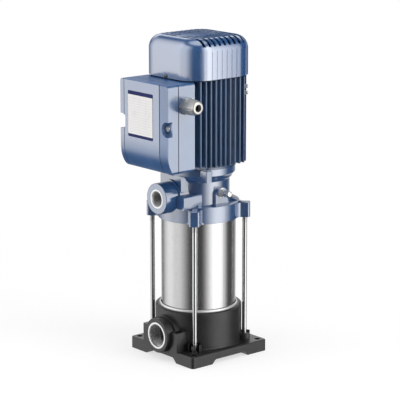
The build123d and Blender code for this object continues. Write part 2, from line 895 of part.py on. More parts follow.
save(motor_frame, "motor_frame")

with BuildPart() as stator_core:
    with BuildSketch(Plane.XY.offset(stator_low)):
        Circle(stator_r)
        Circle(rotor_r + air_gap, mode=Mode.SUBTRACT)
    extrude(amount=stator_high - stator_low)
save(stator_core, "stator_core")

# End turns of the winding, a rounded ring against each face of the stator
with BuildPart() as stator_windings:
    for face, rise in ((stator_low, -1), (stator_high, 1)):
        with BuildSketch(Plane.XZ) as coil:
            with Locations(((winding_in_r + winding_out_r) / 2, face + rise * winding_high / 2)):
                Rectangle(winding_out_r - winding_in_r, winding_high)
            fillet(coil.vertices().group_by(Axis.Y)[-1 if rise > 0 else 0], winding_round)
        revolve(axis=Axis.Z)
save(stator_windings, "stator_windings")

# Upper shield: bearing hub below, four lugs that carry the fan cover
upper_bearing_low = frame_high - bearing_wide - hub_lip
with BuildPart() as upper_shield:
    with BuildSketch(Plane.XY.offset(frame_high)):
        Circle(shield_r)
        for turn in (0, 90):
            with Locations(Rot(0, 0, turn)):
                Rectangle(2 * (cover_half - cover_wall - slip_gap), 2 * shield_lug_half)
    extrude(amount=shield_thick)
    with BuildSketch(Plane.XY.offset(frame_high)):
        Circle(bearing_hub_r)
    extrude(amount=-bearing_wide - hub_lip)
    with BuildSketch(Plane.XY.offset(upper_bearing_low)):
        Circle(bearing_out_r + run_gap)
    extrude(amount=bearing_wide + hub_lip, mode=Mode.SUBTRACT)
    with BuildSketch(Plane.XY.offset(frame_high)):
        Circle(bearing_in_r + shaft_room)
        for sx, sy in corners:
            with Locations((sx * bolt_at, sy * bolt_at)):
                Circle(bolt_r + run_gap)
    extrude(amount=shield_thick, mode=Mode.SUBTRACT)
    for turn in (0, 180):
        with BuildSketch(cover_screw_plane(turn, cover_half)):
            Circle(cover_screw_r + run_gap)
        extrude(amount=-cover_screw_grip - 2 * overlap, mode=Mode.SUBTRACT)
save(upper_shield, "upper_shield")

with BuildPart() as shield_bolts:
    with BuildSketch(Plane.XY.offset(frame_high - bolt_grip)):
        for sx, sy in corners:
            with Locations((sx * bolt_at, sy * bolt_at)):
                Circle(bolt_r)
    extrude(amount=bolt_grip + shield_thick)
    with BuildSketch(Plane.XY.offset(frame_high + shield_thick)):
        for sx, sy in corners:
            with Locations((sx * bolt_at, sy * bolt_at)):
                RegularPolygon(bolt_head_across / 2, 6, major_radius=False)
    extrude(amount=bolt_head)
save(shield_bolts, "shield_bolts")

# Two ball bearings: outer rings in the hubs, inner rings and balls on the shaft
ball_ring = (bearing_in_r + bearing_out_r) / 2
bearing_lows = (frame_low, upper_bearing_low + hub_lip)


def bearing_rings(outer, inner):
    """Rings of both bearings between two radii, with the ball groove rolled in."""
    with BuildPart() as rings:
        for low in bearing_lows:
            with BuildSketch(Plane.XZ):
                with Locations(((outer + inner) / 2, low + bearing_wide / 2)):
                    Rectangle(outer - inner, bearing_wide)
                with Locations((ball_ring, low + bearing_wide / 2)):
                    Circle(ball_r + run_gap, mode=Mode.SUBTRACT)
            revolve(axis=Axis.Z)
    return rings


outer_races = bearing_rings(bearing_out_r, bearing_out_r - race_thick)
save(outer_races, "bearing_outer_rings")
inner_races = bearing_rings(bearing_in_r + race_thick, bearing_in_r + run_gap)
save(inner_races, "bearing_inner_rings")

with BuildPart() as bearing_balls:
    for low in bearing_lows:
        with PolarLocations(ball_ring, balls):
            with Locations((0, 0, low + bearing_wide / 2)):
                Sphere(ball_r)
save(bearing_balls, "bearing_balls")

# One shaft from the fan down to the lowest stage
with BuildPart() as shaft:
    with BuildSketch(Plane.XZ):
        with BuildLine():
            Polyline(
                (0, shaft_low),
                (shaft_r - shaft_bevel, shaft_low),
                (shaft_r, shaft_low + shaft_bevel),
                (shaft_r, neck_shaft_low),
                (neck_shaft_r, neck_shaft_low),
                (neck_shaft_r, frame_low - hub_lip),
                (bearing_in_r, frame_low - hub_lip),
                (bearing_in_r, frame_low + bearing_wide),
                (rotor_shaft_r, frame_low + bearing_wide),
                (rotor_shaft_r, bearing_lows[1]),
                (bearing_in_r, bearing_lows[1]),
                (bearing_in_r, frame_high + shield_thick),
                (fan_shaft_r, frame_high + shield_thick),
                (fan_shaft_r, shaft_high - shaft_bevel),
                (fan_shaft_r - shaft_bevel, shaft_high),
                (0, shaft_high),
                close=True,
            )
        make_face()
    revolve(axis=Axis.Z)
save(shaft, "shaft")

with BuildPart() as rotor_core:
    with BuildSketch(Plane.XY.offset(stator_low)):
        Circle(rotor_r)
        Circle(rotor_shaft_r + run_gap, mode=Mode.SUBTRACT)
    extrude(amount=stator_high - stator_low)
    for face, rise in ((stator_low, -1), (stator_high, 1)):
        with BuildSketch(Plane.XY.offset(face)):
            Circle(end_ring_out)
            Circle(end_ring_in, mode=Mode.SUBTRACT)
        extrude(amount=rise * end_ring_high)
save(rotor_core, "rotor_core")

# Radial fan on the shaft's top end
with BuildPart() as fan:
    with BuildSketch(Plane.XY.offset(fan_low)):
        Circle(fan_disc_r)
    extrude(amount=fan_plate)
    with BuildSketch(Plane.XY.offset(fan_low)):
        Circle(fan_hub_r)
    extrude(amount=fan_blade_high)
    with BuildSketch(Plane.XY.offset(fan_low)):
        with PolarLocations((fan_r + fan_hub_r) / 2 - overlap, fan_blades):
            Rectangle(fan_r - fan_hub_r + 2 * overlap, fan_blade_thick)
    extrude(amount=fan_blade_high)
    with BuildSketch(Plane.XY.offset(fan_low)):
        Circle(fan_shaft_r + run_gap)
    extrude(amount=fan_blade_high, mode=Mode.SUBTRACT)
save(fan, "fan")

# Fan cover: a deep pressed hood, its grille cut as parallel slots that run over both side
# edges, with a bare middle
with BuildPart() as cover_hollow:
    with BuildSketch(Plane.XY.offset(cover_low)):
        RectangleRounded(
            2 * (cover_half - cover_wall), 2 * (cover_half - cover_wall), cover_round - cover_wall
        )
    extrude(amount=cover_top - cover_wall - cover_low)
    fillet(cover_hollow.faces().sort_by(Axis.Z)[-1].edges(), cover_edge - cover_wall)

with BuildPart() as fan_cover:
    with BuildSketch(Plane.XY.offset(cover_low)):
        RectangleRounded(2 * cover_half, 2 * cover_half, cover_round)
    extrude(amount=cover_top - cover_low)
    fillet(fan_cover.faces().sort_by(Axis.Z)[-1].edges(), cover_edge)
    add(cover_hollow.part, mode=Mode.SUBTRACT)
    with BuildSketch(Plane.XY.offset(cover_top - slot_deep)):
        for side in (-1, 1):
            for row in range(slots):
                y = (row - (slots - 1) / 2) * slot_pitch
                reach = slot_inner if abs(y) < slots // 3 * slot_pitch else long_slot_reach
                with Locations((side * (cover_half + reach) / 2, y)):
                    Rectangle(cover_half - reach, slot_wide)
    extrude(amount=slot_deep, mode=Mode.SUBTRACT)

    # Shallow flutes down both sides below the slots, and a groove along both edges of the top
    with BuildSketch(Plane.XY.offset(cover_low)):
        with GridLocations(0, slot_pitch, 1, flutes):
            Rectangle(2 * (cover_half + overlap), flute_wide)
        inside = cover_half - flute_deep
        RectangleRounded(2 * inside, 2 * inside, cover_round - flute_deep, mode=Mode.SUBTRACT)
    extrude(amount=cover_high - slot_deep + overlap, mode=Mode.SUBTRACT)
    with BuildSketch(Plane.XY.offset(cover_top - brow_deep)):
        with GridLocations(0, 2 * brow_at, 1, 2):
            Rectangle(2 * cover_half, brow_wide)
    extrude(amount=brow_deep, mode=Mode.SUBTRACT)
    for turn in (0, 180):
        with BuildSketch(cover_screw_plane(turn, cover_half)):
            Circle(cover_screw_r + run_gap)
        extrude(amount=-2 * cover_wall, mode=Mode.SUBTRACT)
save(fan_cover, "fan_cover")

with BuildPart() as fan_cover_screws:
    for turn in (0, 180):
        with BuildSketch(cover_screw_plane(turn, cover_half - cover_screw_grip)):
            Circle(cover_screw_r)
        extrude(amount=cover_screw_grip)
        with BuildSketch(cover_screw_plane(turn, cover_half)):
            Circle(2 * cover_screw_r)
        extrude(amount=cover_screw_head)
save(fan_cover_screws, "fan_cover_screws")

# Terminal box: the base behind the split, the cover in front of it
gasket_face = box_split - gasket_thick
box_mid_z = (box_low + box_high) / 2
with BuildPart() as terminal_box_base:
    with BuildSketch(Plane.XZ.offset(pad_face)):
        with Locations((0, box_mid_z)):
            RectangleRounded(2 * box_half, box_high - box_low, box_corner)
    extrude(amount=gasket_face - pad_face)
    with BuildSketch(Plane.XZ.offset(pad_face + box_wall)):
        with Locations((0, box_mid_z)):
            RectangleRounded(
                2 * (box_half - box_wall), box_high - box_low - 2 * box_wall, box_corner - box_wall
            )
    extrude(amount=gasket_face - pad_face - box_wall, mode=Mode.SUBTRACT)
    for side in (-1, 1):
        with BuildSketch(Plane.XZ.offset(pad_face)):
            with Locations((side * box_screw_x, notch_z)):
                Circle(post_r)
                with Locations((side * post_web / 2, 0)):
                    Rectangle(post_web, 2 * post_r)
        extrude(amount=gasket_face - pad_face)
        with BuildSketch(Plane.XZ.offset(gasket_face)):
            with Locations((side * box_screw_x, notch_z)):
                Circle(box_screw_r + run_gap)
        extrude(amount=-screw_hole_len, mode=Mode.SUBTRACT)
    with BuildSketch(Plane.XZ.offset(pad_face)):
        with Locations((0, notch_z)):
            Circle(wire_hole_r)
    extrude(amount=box_wall, mode=Mode.SUBTRACT)
    with BuildSketch(Plane.YZ.offset(box_half)):
        with Locations((-gland_y, gland_z)):
            Circle(gland_tube_r + run_gap)
    extrude(amount=-box_wall - overlap, mode=Mode.SUBTRACT)
save(terminal_box_base, "terminal_box_base")


def cover_outline(inset):
    """Side outline of the box cover in Y and Z, moved inwards by the inset."""
    with BuildLine() as outline:
        front = Polyline(
            (-box_split, box_low + inset),
            (-box_split, box_high - inset),
            (-box_face + inset, box_high - inset),
            (-box_face + inset, cover_bend_z),
        )
        bend = TangentArc(front @ 1, (inset - box_split - toe_deep, box_low + inset), tangent=(0, -1))
        Line(bend @ 1, front @ 0)
    return outline


with BuildPart() as cover_room:
    with BuildSketch(Plane.YZ.offset(-box_half + box_wall)):
        add(cover_outline(box_wall).line)
        make_face()
    extrude(amount=2 * (box_half - box_wall))
    with BuildSketch(Plane.XZ.offset(box_split)):
        for side in (-1, 1):
            with Locations((side * notch_x, notch_z)):
                Circle(notch_r + box_wall)
                with Locations((side * notch_r / 2, 0)):
                    Rectangle(notch_r, 2 * (notch_r + box_wall))
    extrude(amount=box_face - box_split, mode=Mode.SUBTRACT)

with BuildPart() as terminal_box_cover:
    with BuildSketch(Plane.YZ.offset(-box_half)):
        add(cover_outline(0).line)
        make_face()
    extrude(amount=2 * box_half)
    corner_edges = terminal_box_cover.edges().filter_by(Axis.Y).group_by(Axis.Z)
    fillet(corner_edges[0] + corner_edges[-1], box_corner)
    add(cover_room.part, mode=Mode.SUBTRACT)
    with BuildSketch(Plane.XZ.offset(box_face - notch_deep)):
        for side in (-1, 1):
            with Locations((side * notch_x, notch_z)):
                Circle(notch_r)
                with Locations((side * notch_r / 2, 0)):
                    Rectangle(notch_r, 2 * notch_r)
    extrude(amount=notch_deep, mode=Mode.SUBTRACT)
    with BuildSketch(Plane.XZ.offset(box_face)):
        for x in (groove_left, groove_right):
            with Locations((x, (cover_bend_z + box_high) / 2)):
                Rectangle(groove_wide, box_high - cover_bend_z)
    extrude(amount=-groove_deep, mode=Mode.SUBTRACT)
    with BuildSketch(Plane.XZ.offset(box_split)):
        for side in (-1, 1):
            with Locations((side * box_screw_x, notch_z)):
                Circle(box_screw_r + run_gap)
    extrude(amount=box_face - box_split, mode=Mode.SUBTRACT)
save(terminal_box_cover, "terminal_box_cover")

with BuildPart() as box_gasket:
    with BuildSketch(Plane.XZ.offset(gasket_face)):
        with Locations((0, box_mid_z)):
            RectangleRounded(2 * (box_half - body_gap), box_high - box_low - 2 * body_gap, box_corner)
            RectangleRounded(
                2 * (box_half - box_wall), box_high - box_low - 2 * box_wall, box_corner - box_wall,
                mode=Mode.SUBTRACT,
            )
        for side in (-1, 1):
            with Locations((side * box_screw_x, notch_z)):
                Circle(post_r)
                Circle(box_screw_r + run_gap, mode=Mode.SUBTRACT)
    extrude(amount=gasket_thick)
save(box_gasket, "box_gasket")

with BuildPart() as box_screws:
    for side in (-1, 1):
        with BuildSketch(Plane.XZ.offset(gasket_face - box_screw_grip)):
            with Locations((side * box_screw_x, notch_z)):
                Circle(box_screw_r)
        extrude(amount=box_face - notch_deep - gasket_face + box_screw_grip)
        with BuildSketch(Plane.XZ.offset(box_face - notch_deep)):
            with Locations((side * box_screw_x, notch_z)):
                Circle(box_screw_head_r)
        extrude(amount=box_screw_head)
save(box_screws, "box_screws")

with BuildPart() as rating_plate:
    with BuildSketch(Plane.XZ.offset(box_face)):
        with Locations(((label_left + label_right) / 2, (label_low + label_high) / 2)):
            RectangleRounded(label_right - label_left, label_high - label_low, label_round)
    extrude(amount=label_thick)
save(rating_plate, "rating_plate")

# Terminal board with its studs, and the run capacitor, against the back of the box
with BuildPart() as terminal_board:
    with BuildSketch(Plane.XZ.offset(pad_face + box_wall)):
        with Locations((0, board_z)):
            RectangleRounded(board_wide, board_high, board_round)
    extrude(amount=board_thick)
save(terminal_board, "terminal_board")

with BuildPart() as terminal_studs:
    with BuildSketch(Plane.XZ.offset(pad_face + box_wall + board_thick)):
        with Locations((0, board_z)):
            with GridLocations(stud_pitch, stud_pitch, 3, 2):
                RegularPolygon(stud_nut / 2, 6, major_radius=False)
    extrude(amount=stud_nut_high)
    with BuildSketch(Plane.XZ.offset(pad_face + box_wall + board_thick)):
        with Locations((0, board_z)):
            with GridLocations(stud_pitch, stud_pitch, 3, 2):
                Circle(stud_r)
    extrude(amount=stud_len)
save(terminal_studs, "terminal_studs")

with BuildPart() as run_capacitor:
    with BuildSketch(Plane.YZ.offset(capacitor_x - capacitor_len / 2)):
        with Locations((-pad_face - box_wall - capacitor_r, capacitor_z)):
            Circle(capacitor_r)
    extrude(amount=capacitor_len)
    fillet(run_capacitor.faces().sort_by(Axis.X)[0].edges(), capacitor_round)
    with BuildSketch(Plane.YZ.offset(capacitor_x + capacitor_len / 2)):
        with Locations((-pad_face - box_wall - capacitor_r, capacitor_z)):
            with GridLocations(tab_pitch, tab_pitch, 1, 2):
                Rectangle(tab_wide, tab_thick)
    extrude(amount=tab_len)
save(run_capacitor, "run_capacitor")

# Cable gland: hexagon body through the box wall, dome nut, and the seal ring inside it
gland_plane = Plane.YZ.offset(box_half)
gland_tube_len = box_wall + gland_tail + gland_body_len + gland_tube_out
with BuildPart() as cable_gland:
    with BuildSketch(gland_plane):
        with Locations((-gland_y, gland_z)):
            RegularPolygon(gland_hex / 2, 6, major_radius=False)
    extrude(amount=gland_body_len)
    with BuildSketch(gland_plane.offset(-box_wall - gland_tail)):
        with Locations((-gland_y, gland_z)):
            Circle(gland_tube_r)
    extrude(amount=gland_tube_len)
    with BuildSketch(gland_plane.offset(-box_wall - gland_tail)):
        with Locations((-gland_y, gland_z)):
            Circle(gland_tube_in)
    extrude(amount=gland_tube_len, mode=Mode.SUBTRACT)
save(cable_gland, "cable_gland")

with BuildPart() as gland_nut:
    with BuildSketch(gland_plane.offset(gland_body_len)):
        with Locations((-gland_y, gland_z)):
            Circle(gland_nut_r)
    extrude(amount=gland_nut_len, taper=gland_taper)
    fillet(gland_nut.faces().sort_by(Axis.X)[-1].edges(), gland_dome)
    with BuildSketch(gland_plane.offset(gland_body_len)):
        with Locations((-gland_y, gland_z)):
            Circle(gland_tube_r + run_gap)
    extrude(amount=gland_nut_len - gland_lip, mode=Mode.SUBTRACT)
    with BuildSketch(gland_plane.offset(gland_body_len)):
        with Locations((-gland_y, gland_z)):
            Circle(gland_bore_r)
    extrude(amount=gland_nut_len, mode=Mode.SUBTRACT)
save(gland_nut, "gland_nut")

with BuildPart() as gland_seal:
    with BuildSketch(gland_plane.offset(gland_body_len + gland_tube_out)):
        with Locations((-gland_y, gland_z)):
            Circle(gland_tube_r - body_gap)
            Circle(gland_bore_r + body_gap, mode=Mode.SUBTRACT)
    extrude(amount=gland_nut_len - gland_lip - gland_tube_out)
save(gland_seal, "gland_seal")

# Inlet plate on the casing shelf, with three arms to the hub of the guide bush
bush_low = sleeve_low - bush_len + bush_lift
bush_out = journal_r + run_gap + bush_wall
hub_out = bush_out + run_gap + bush_hub_wall
with BuildPart() as inlet_plate:
    with BuildSketch(Plane.XY.offset(sleeve_low)):
        Circle(stage_out_r)
        Circle(eye_r + eye_wall + body_gap, mode=Mode.SUBTRACT)
    extrude(amount=inlet_thick)
    with BuildSketch(Plane.XY.offset(bush_low)):
        Circle(hub_out)
    extrude(amount=bush_len)
    with BuildSketch(Plane.XY.offset(sleeve_low - spider_deep)):
        with PolarLocations(eye_r + 2 * overlap, 3):
            Rectangle(spider_len, spider_arm)
    extrude(amount=spider_deep)
    with BuildSketch(Plane.XY.offset(bush_low)):
        Circle(bush_out + run_gap)
    extrude(amount=bush_len, mode=Mode.SUBTRACT)
save(inlet_plate, "inlet_plate")

guide_bush = ring_at(bush_low, bush_low + bush_len, bush_out, journal_r + run_gap)
save(guide_bush, "guide_bush")


def polar(radius, angle):
    """Point at a radius and an angle in degrees."""
    return (radius * cos(radians(angle)), radius * sin(radians(angle)))


def vane_section(start_r, end_r, sweep, thick):
    """Section of one curved vane: an arc and the same arc turned about the axis."""
    middle_r = (start_r + end_r) / 2
    turned = degrees(thick / middle_r)
    with BuildSketch() as vane:
        with BuildLine():
            near = ThreePointArc(polar(start_r, 0), polar(middle_r, 0.4 * sweep), polar(end_r, sweep))
            far = ThreePointArc(
                polar(start_r, turned), polar(middle_r, 0.4 * sweep + turned), polar(end_r, sweep + turned)
            )
            Line(near @ 0, far @ 0)
            Line(near @ 1, far @ 1)
        make_face()
    return vane.sketch


# Diffusers: each stage's bowl, with vanes that lead the water back in to the next eye
wall_in = stage_out_r - stage_wall
return_vane = vane_section(eye_r + vane_gap, impeller_r, return_sweep, vane_thick)
with BuildPart() as diffusers:
    for stage in range(stages):
        low = stack_low + stage * stage_pitch
        high = low + stage_pitch
        with BuildSketch(Plane.XY.offset(low)):
            Circle(stage_out_r)
            Circle(wall_in, mode=Mode.SUBTRACT)
        extrude(amount=stage_pitch - stage_seam)
        with BuildSketch(Plane.XY.offset(high - stage_plate)):
            Circle(wall_in + overlap)
            Circle(eye_r + eye_wall + body_gap, mode=Mode.SUBTRACT)
        extrude(amount=stage_plate - stage_seam)
        with BuildSketch(Plane.XY.offset(high - 2 * stage_plate - passage)):
            Circle(impeller_r + stage_plate)
            Circle(impeller_hub_r + shaft_room, mode=Mode.SUBTRACT)
        extrude(amount=stage_plate)
        with BuildSketch(Plane.XY.offset(high - stage_plate - passage)):
            with PolarLocations(0, diffuser_vanes):
                add(return_vane)
        extrude(amount=passage)
save(diffusers, "diffusers")

# Impellers: two shrouds with curved vanes between them, the eye ring below
impeller_vane = vane_section(eye_r + overlap, impeller_r - shroud, impeller_sweep, vane_thick)
with BuildPart() as impellers:
    for stage in range(stages):
        low = stack_low + stage * stage_pitch
        with BuildSketch(Plane.XY.offset(low - eye_ring_drop)):
            Circle(eye_r + eye_wall)
            Circle(eye_r, mode=Mode.SUBTRACT)
        extrude(amount=eye_ring_drop + impeller_lift + shroud)
        with BuildSketch(Plane.XY.offset(low + impeller_lift)):
            Circle(impeller_r)
            Circle(eye_r, mode=Mode.SUBTRACT)
        extrude(amount=shroud)
        with BuildSketch(Plane.XY.offset(low + impeller_lift + shroud)):
            with PolarLocations(0, impeller_vanes):
                add(impeller_vane)
        extrude(amount=passage)
        with BuildSketch(Plane.XY.offset(low + impeller_lift + shroud + passage)):
            Circle(impeller_r)
        extrude(amount=shroud)
        with BuildSketch(Plane.XY.offset(low + impeller_lift)):
            Circle(impeller_hub_r)
        extrude(amount=hub_len)
        with BuildSketch(Plane.XY.offset(low)):
            Circle(shaft_r + run_gap)
        extrude(amount=stage_pitch, mode=Mode.SUBTRACT)
save(impellers, "impellers")

hub_low = stack_low + impeller_lift
nut_top = bush_low - overlap
with BuildPart() as shaft_sleeves:
    for stage in range(stages + 1):
        low = hub_low + (stage - 1) * stage_pitch + hub_len if stage else nut_top
        high = hub_low + stage * stage_pitch if stage < stages else neck_shaft_low
        with BuildSketch(Plane.XY.offset(low)):
            Circle(journal_r)
            Circle(shaft_r + run_gap, mode=Mode.SUBTRACT)
        extrude(amount=high - low)
save(shaft_sleeves, "shaft_sleeves")

with BuildPart() as shaft_nut:
    with BuildSketch(Plane.XY.offset(nut_top - shaft_nut_high)):
        RegularPolygon(shaft_nut_hex / 2, 6, major_radius=False)
        Circle(shaft_r + run_gap, mode=Mode.SUBTRACT)
    extrude(amount=shaft_nut_high)
save(shaft_nut, "shaft_nut")

stack_ring = ring_at(stack_high, sleeve_top, stage_out_r, stage_out_r - 2 * stage_wall)
save(stack_ring, "stack_ring")

# Mechanical seal: the still seat in the roof, the turning face, its bellows, the slinger
seal_seat = ring_at(head_roof_low, head_roof_low + seal_seat_high, seal_seat_r, neck_shaft_r + seat_bore_gap)
save(seal_seat, "seal_seat")

seal_high = head_roof_low - seal_gap
seal_head = ring_at(seal_high - seal_face_high, seal_high, seal_r, neck_shaft_r + run_gap)
save(seal_head, "seal_head")

with BuildPart() as seal_bellows:
    wave = bellows_high / bellows_waves
    bellows_low = seal_high - seal_face_high - bellows_high
    with BuildSketch(Plane.XZ):
        with BuildLine():
            points = [(neck_shaft_r + run_gap, bellows_low)]
            for fold in range(bellows_waves):
                points.append((seal_r - bellows_fold, bellows_low + fold * wave))
                points.append((seal_r, bellows_low + (fold + 0.5) * wave))
            points.append((seal_r - bellows_fold, bellows_low + bellows_high))
            points.append((neck_shaft_r + run_gap, bellows_low + bellows_high))
            Polyline(*points, close=True)
        make_face()
    revolve(axis=Axis.Z)
save(seal_bellows, "seal_bellows")

slinger_low = head_roof_high + slinger_lift
slinger = ring_at(slinger_low, slinger_low + slinger_thick, slinger_r, neck_shaft_r + run_gap)
save(slinger, "slinger")

# Flat gaskets under and over the sleeve's ends
with BuildPart() as sleeve_gaskets:
    for low in (sleeve_low, sleeve_top - gasket_thick):
        with BuildSketch(Plane.XY.offset(low)):
            Circle(sleeve_r)
            Circle(sleeve_r - sleeve_wall, mode=Mode.SUBTRACT)
        extrude(amount=gasket_thick)
save(sleeve_gaskets, "sleeve_gaskets")

# Drain plug low on the side away from the vent
drain_plane = Plane(origin=(-drain_face, 0, drain_z), x_dir=(0, 1, 0), z_dir=(-1, 0, 0))
with BuildPart() as drain_plug:
    with BuildSketch(drain_plane):
        Circle(drain_thread_r)
    extrude(amount=-drain_thread_len)
    with BuildSketch(drain_plane):
        Circle(drain_washer_r)
    extrude(amount=plug_washer)
    with BuildSketch(drain_plane.offset(plug_washer)):
        RegularPolygon(drain_hex / 2, 6, major_radius=False)
    extrude(amount=drain_hex_high)
    chamfer(drain_plug.faces().sort_by(Axis.X)[0].edges(), plug_bevel)
save(drain_plug, "drain_plug")

# Spring clip that keeps the fan on the shaft
fan_high = fan_low + fan_blade_high
with BuildPart() as fan_clip:
    with BuildSketch(Plane.XY.offset(fan_high)):
        Circle(clip_r)
        Circle(fan_shaft_r + run_gap, mode=Mode.SUBTRACT)
        with Locations((fan_shaft_r, 0)):
            Rectangle(2 * (clip_r - overlap) - fan_shaft_r, clip_mouth, mode=Mode.SUBTRACT)
    extrude(amount=clip_thick)
save(fan_clip, "fan_clip")
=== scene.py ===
import json
from math import ceil, cos, pi, radians, sin, sqrt, tan

import bmesh
import bpy
from mathutils import Matrix, Vector


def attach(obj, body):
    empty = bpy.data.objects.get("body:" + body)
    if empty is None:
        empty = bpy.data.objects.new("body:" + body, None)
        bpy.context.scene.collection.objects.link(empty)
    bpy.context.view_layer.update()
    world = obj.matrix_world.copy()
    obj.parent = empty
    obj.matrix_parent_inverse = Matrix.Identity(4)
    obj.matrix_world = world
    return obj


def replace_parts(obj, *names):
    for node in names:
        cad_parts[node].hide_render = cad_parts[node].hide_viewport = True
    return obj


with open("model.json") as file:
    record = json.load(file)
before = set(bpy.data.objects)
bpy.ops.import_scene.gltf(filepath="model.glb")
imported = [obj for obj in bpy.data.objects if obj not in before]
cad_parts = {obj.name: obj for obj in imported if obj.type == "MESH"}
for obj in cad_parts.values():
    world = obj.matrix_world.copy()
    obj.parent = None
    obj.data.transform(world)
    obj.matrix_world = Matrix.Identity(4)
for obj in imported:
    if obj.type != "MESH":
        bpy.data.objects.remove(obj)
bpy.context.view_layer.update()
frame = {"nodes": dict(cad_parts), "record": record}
mm = 0.001
print("frame loaded:", len(frame["nodes"]), "nodes")


# Camera, at the photograph's viewing angle
view = dict(
    azimuth=49.65, reach=3.03795, height=0.96735, yaw=-0.05, pitch=13.04, lens=165.04, sensor=36, far=100,
)


def makeCamera():
    side = radians(view["azimuth"])
    aim = side + radians(view["yaw"])
    drop = radians(view["pitch"])
    data = bpy.data.cameras.new("photoCamera")
    data.lens = view["lens"]
    data.sensor_width = view["sensor"]
    data.sensor_fit = "HORIZONTAL"
    data.clip_end = view["far"]
    eye = bpy.data.objects.new("photoCamera", data)
    eye.location = (sin(side) * view["reach"], -cos(side) * view["reach"], view["height"])
    look = Vector((-sin(aim) * cos(drop), cos(aim) * cos(drop), -sin(drop)))
    eye.rotation_euler = look.to_track_quat("-Z", "Y").to_euler()
    bpy.context.scene.collection.objects.link(eye)
    bpy.context.scene.camera = eye


makeCamera()
bpy.context.scene.view_settings.view_transform = "Standard"
print("camera set")


# Shader building: Num carries one number socket, and maths on it adds Math nodes
class Num:
    def __init__(self, shade, socket):
        self.shade = shade
        self.socket = socket

    def math(self, operation, first, second=None):
        sockets = {0: first} if second is None else {0: first, 1: second}
        return self.shade.num("ShaderNodeMath", {"operation": operation}, sockets)

    def __add__(self, other):
        return self.math("ADD", self, other)

    def __radd__(self, other):
        return self.math("ADD", other, self)

    def __sub__(self, other):
        return self.math("SUBTRACT", self, other)

    def __rsub__(self, other):
        return self.math("SUBTRACT", other, self)

    def __mul__(self, other):
        return self.math("MULTIPLY", self, other)

    def __rmul__(self, other):
        return self.math("MULTIPLY", other, self)

    def __truediv__(self, other):
        return self.math("DIVIDE", self, other)

    def __pow__(self, other):
        return self.math("POWER", self, other)

    def __abs__(self):
        return self.math("ABSOLUTE", self)

    def __gt__(self, other):
        return self.math("GREATER_THAN", self, other)

    def __lt__(self, other):
        return self.math("LESS_THAN", self, other)

    def most(self, other):
        return self.math("MAXIMUM", self, other)

    def cycle(self, pitch):
        return self.math("FLOORED_MODULO", self, pitch)

    def rise(self, start, end):  # 0 below start, 1 above end, soft between
        settings = {"interpolation_type": "SMOOTHSTEP"}
        sockets = {"Value": self, "From Min": start, "From Max": end}
        return self.shade.num("ShaderNodeMapRange", settings, sockets)

    def band(self, start, full, fade, end):  # 1 between full and fade, 0 outside start and end
        return self.rise(start, full) * (1 - self.rise(fade, end))

    def within(self, low, high):
        return (self > low) * (self < high)

    def waves(self, pitch):  # 1 at each multiple of the pitch, 0 half way between
        return abs(self.cycle(pitch) - pitch / 2) / pitch * 2


class Shade:
    def __init__(self, tree):
        self.tree = tree
        self.tree.nodes.clear()

    def node(self, kind, settings=None, sockets=None):
        made = self.tree.nodes.new(kind)
        for name, value in (settings or {}).items():
            setattr(made, name, value)
        for name, value in (sockets or {}).items():
            if isinstance(value, Num):
                value = value.socket
            if isinstance(value, bpy.types.NodeSocket):
                self.tree.links.new(value, made.inputs[name])
            else:
                made.inputs[name].default_value = value
        return made

    def num(self, kind, settings=None, sockets=None):
        return Num(self, self.node(kind, settings, sockets).outputs[0])

    def place(self):
        return self.node("ShaderNodeTexCoord").outputs["Object"]

    def axes(self, vector):
        parts = self.node("ShaderNodeSeparateXYZ", None, {"Vector": vector})
        return [Num(self, out) for out in parts.outputs]

    def stretch(self, vector, scale):
        sockets = {"Vector": vector, "Scale": scale}
        return self.node("ShaderNodeMapping", None, sockets).outputs[0]

    def noise(self, vector, scale, detail=3.0, rough=0.55):
        sockets = {"Vector": vector, "Scale": scale, "Detail": detail, "Roughness": rough}
        return self.num("ShaderNodeTexNoise", None, sockets)

    def mix(self, amount, first, second):
        sockets = {0: amount, 6: colourOf(first), 7: colourOf(second)}
        return self.node("ShaderNodeMix", {"data_type": "RGBA"}, sockets).outputs[2]

    def mixShaders(self, amount, first, second):
        sockets = {0: amount, 1: first.outputs[0], 2: second.outputs[0]}
        return self.node("ShaderNodeMixShader", None, sockets)

    def rays(self):  # 1 for a camera, a glossy and a transmission ray
        path = self.node("ShaderNodeLightPath")
        kinds = ("Is Camera Ray", "Is Glossy Ray", "Is Transmission Ray")
        return [Num(self, path.outputs[kind]) for kind in kinds]

    def bump(self, height, depth, base=None):
        sockets = {"Height": height, "Distance": depth, "Strength": 1.0}
        if base:
            sockets["Normal"] = base
        return self.node("ShaderNodeBump", None, sockets).outputs[0]


def colourOf(value):
    return (*value, 1) if isinstance(value, tuple) and len(value) == 3 else value


def newMaterial(name):
    made = bpy.data.materials.new(name)
    made.use_nodes = True
    return made, Shade(made.node_tree)


def finishMaterial(shade, sockets):
    body = shade.node("ShaderNodeBsdfPrincipled", None, sockets)
    shade.node("ShaderNodeOutputMaterial", None, {"Surface": body.outputs[0]})


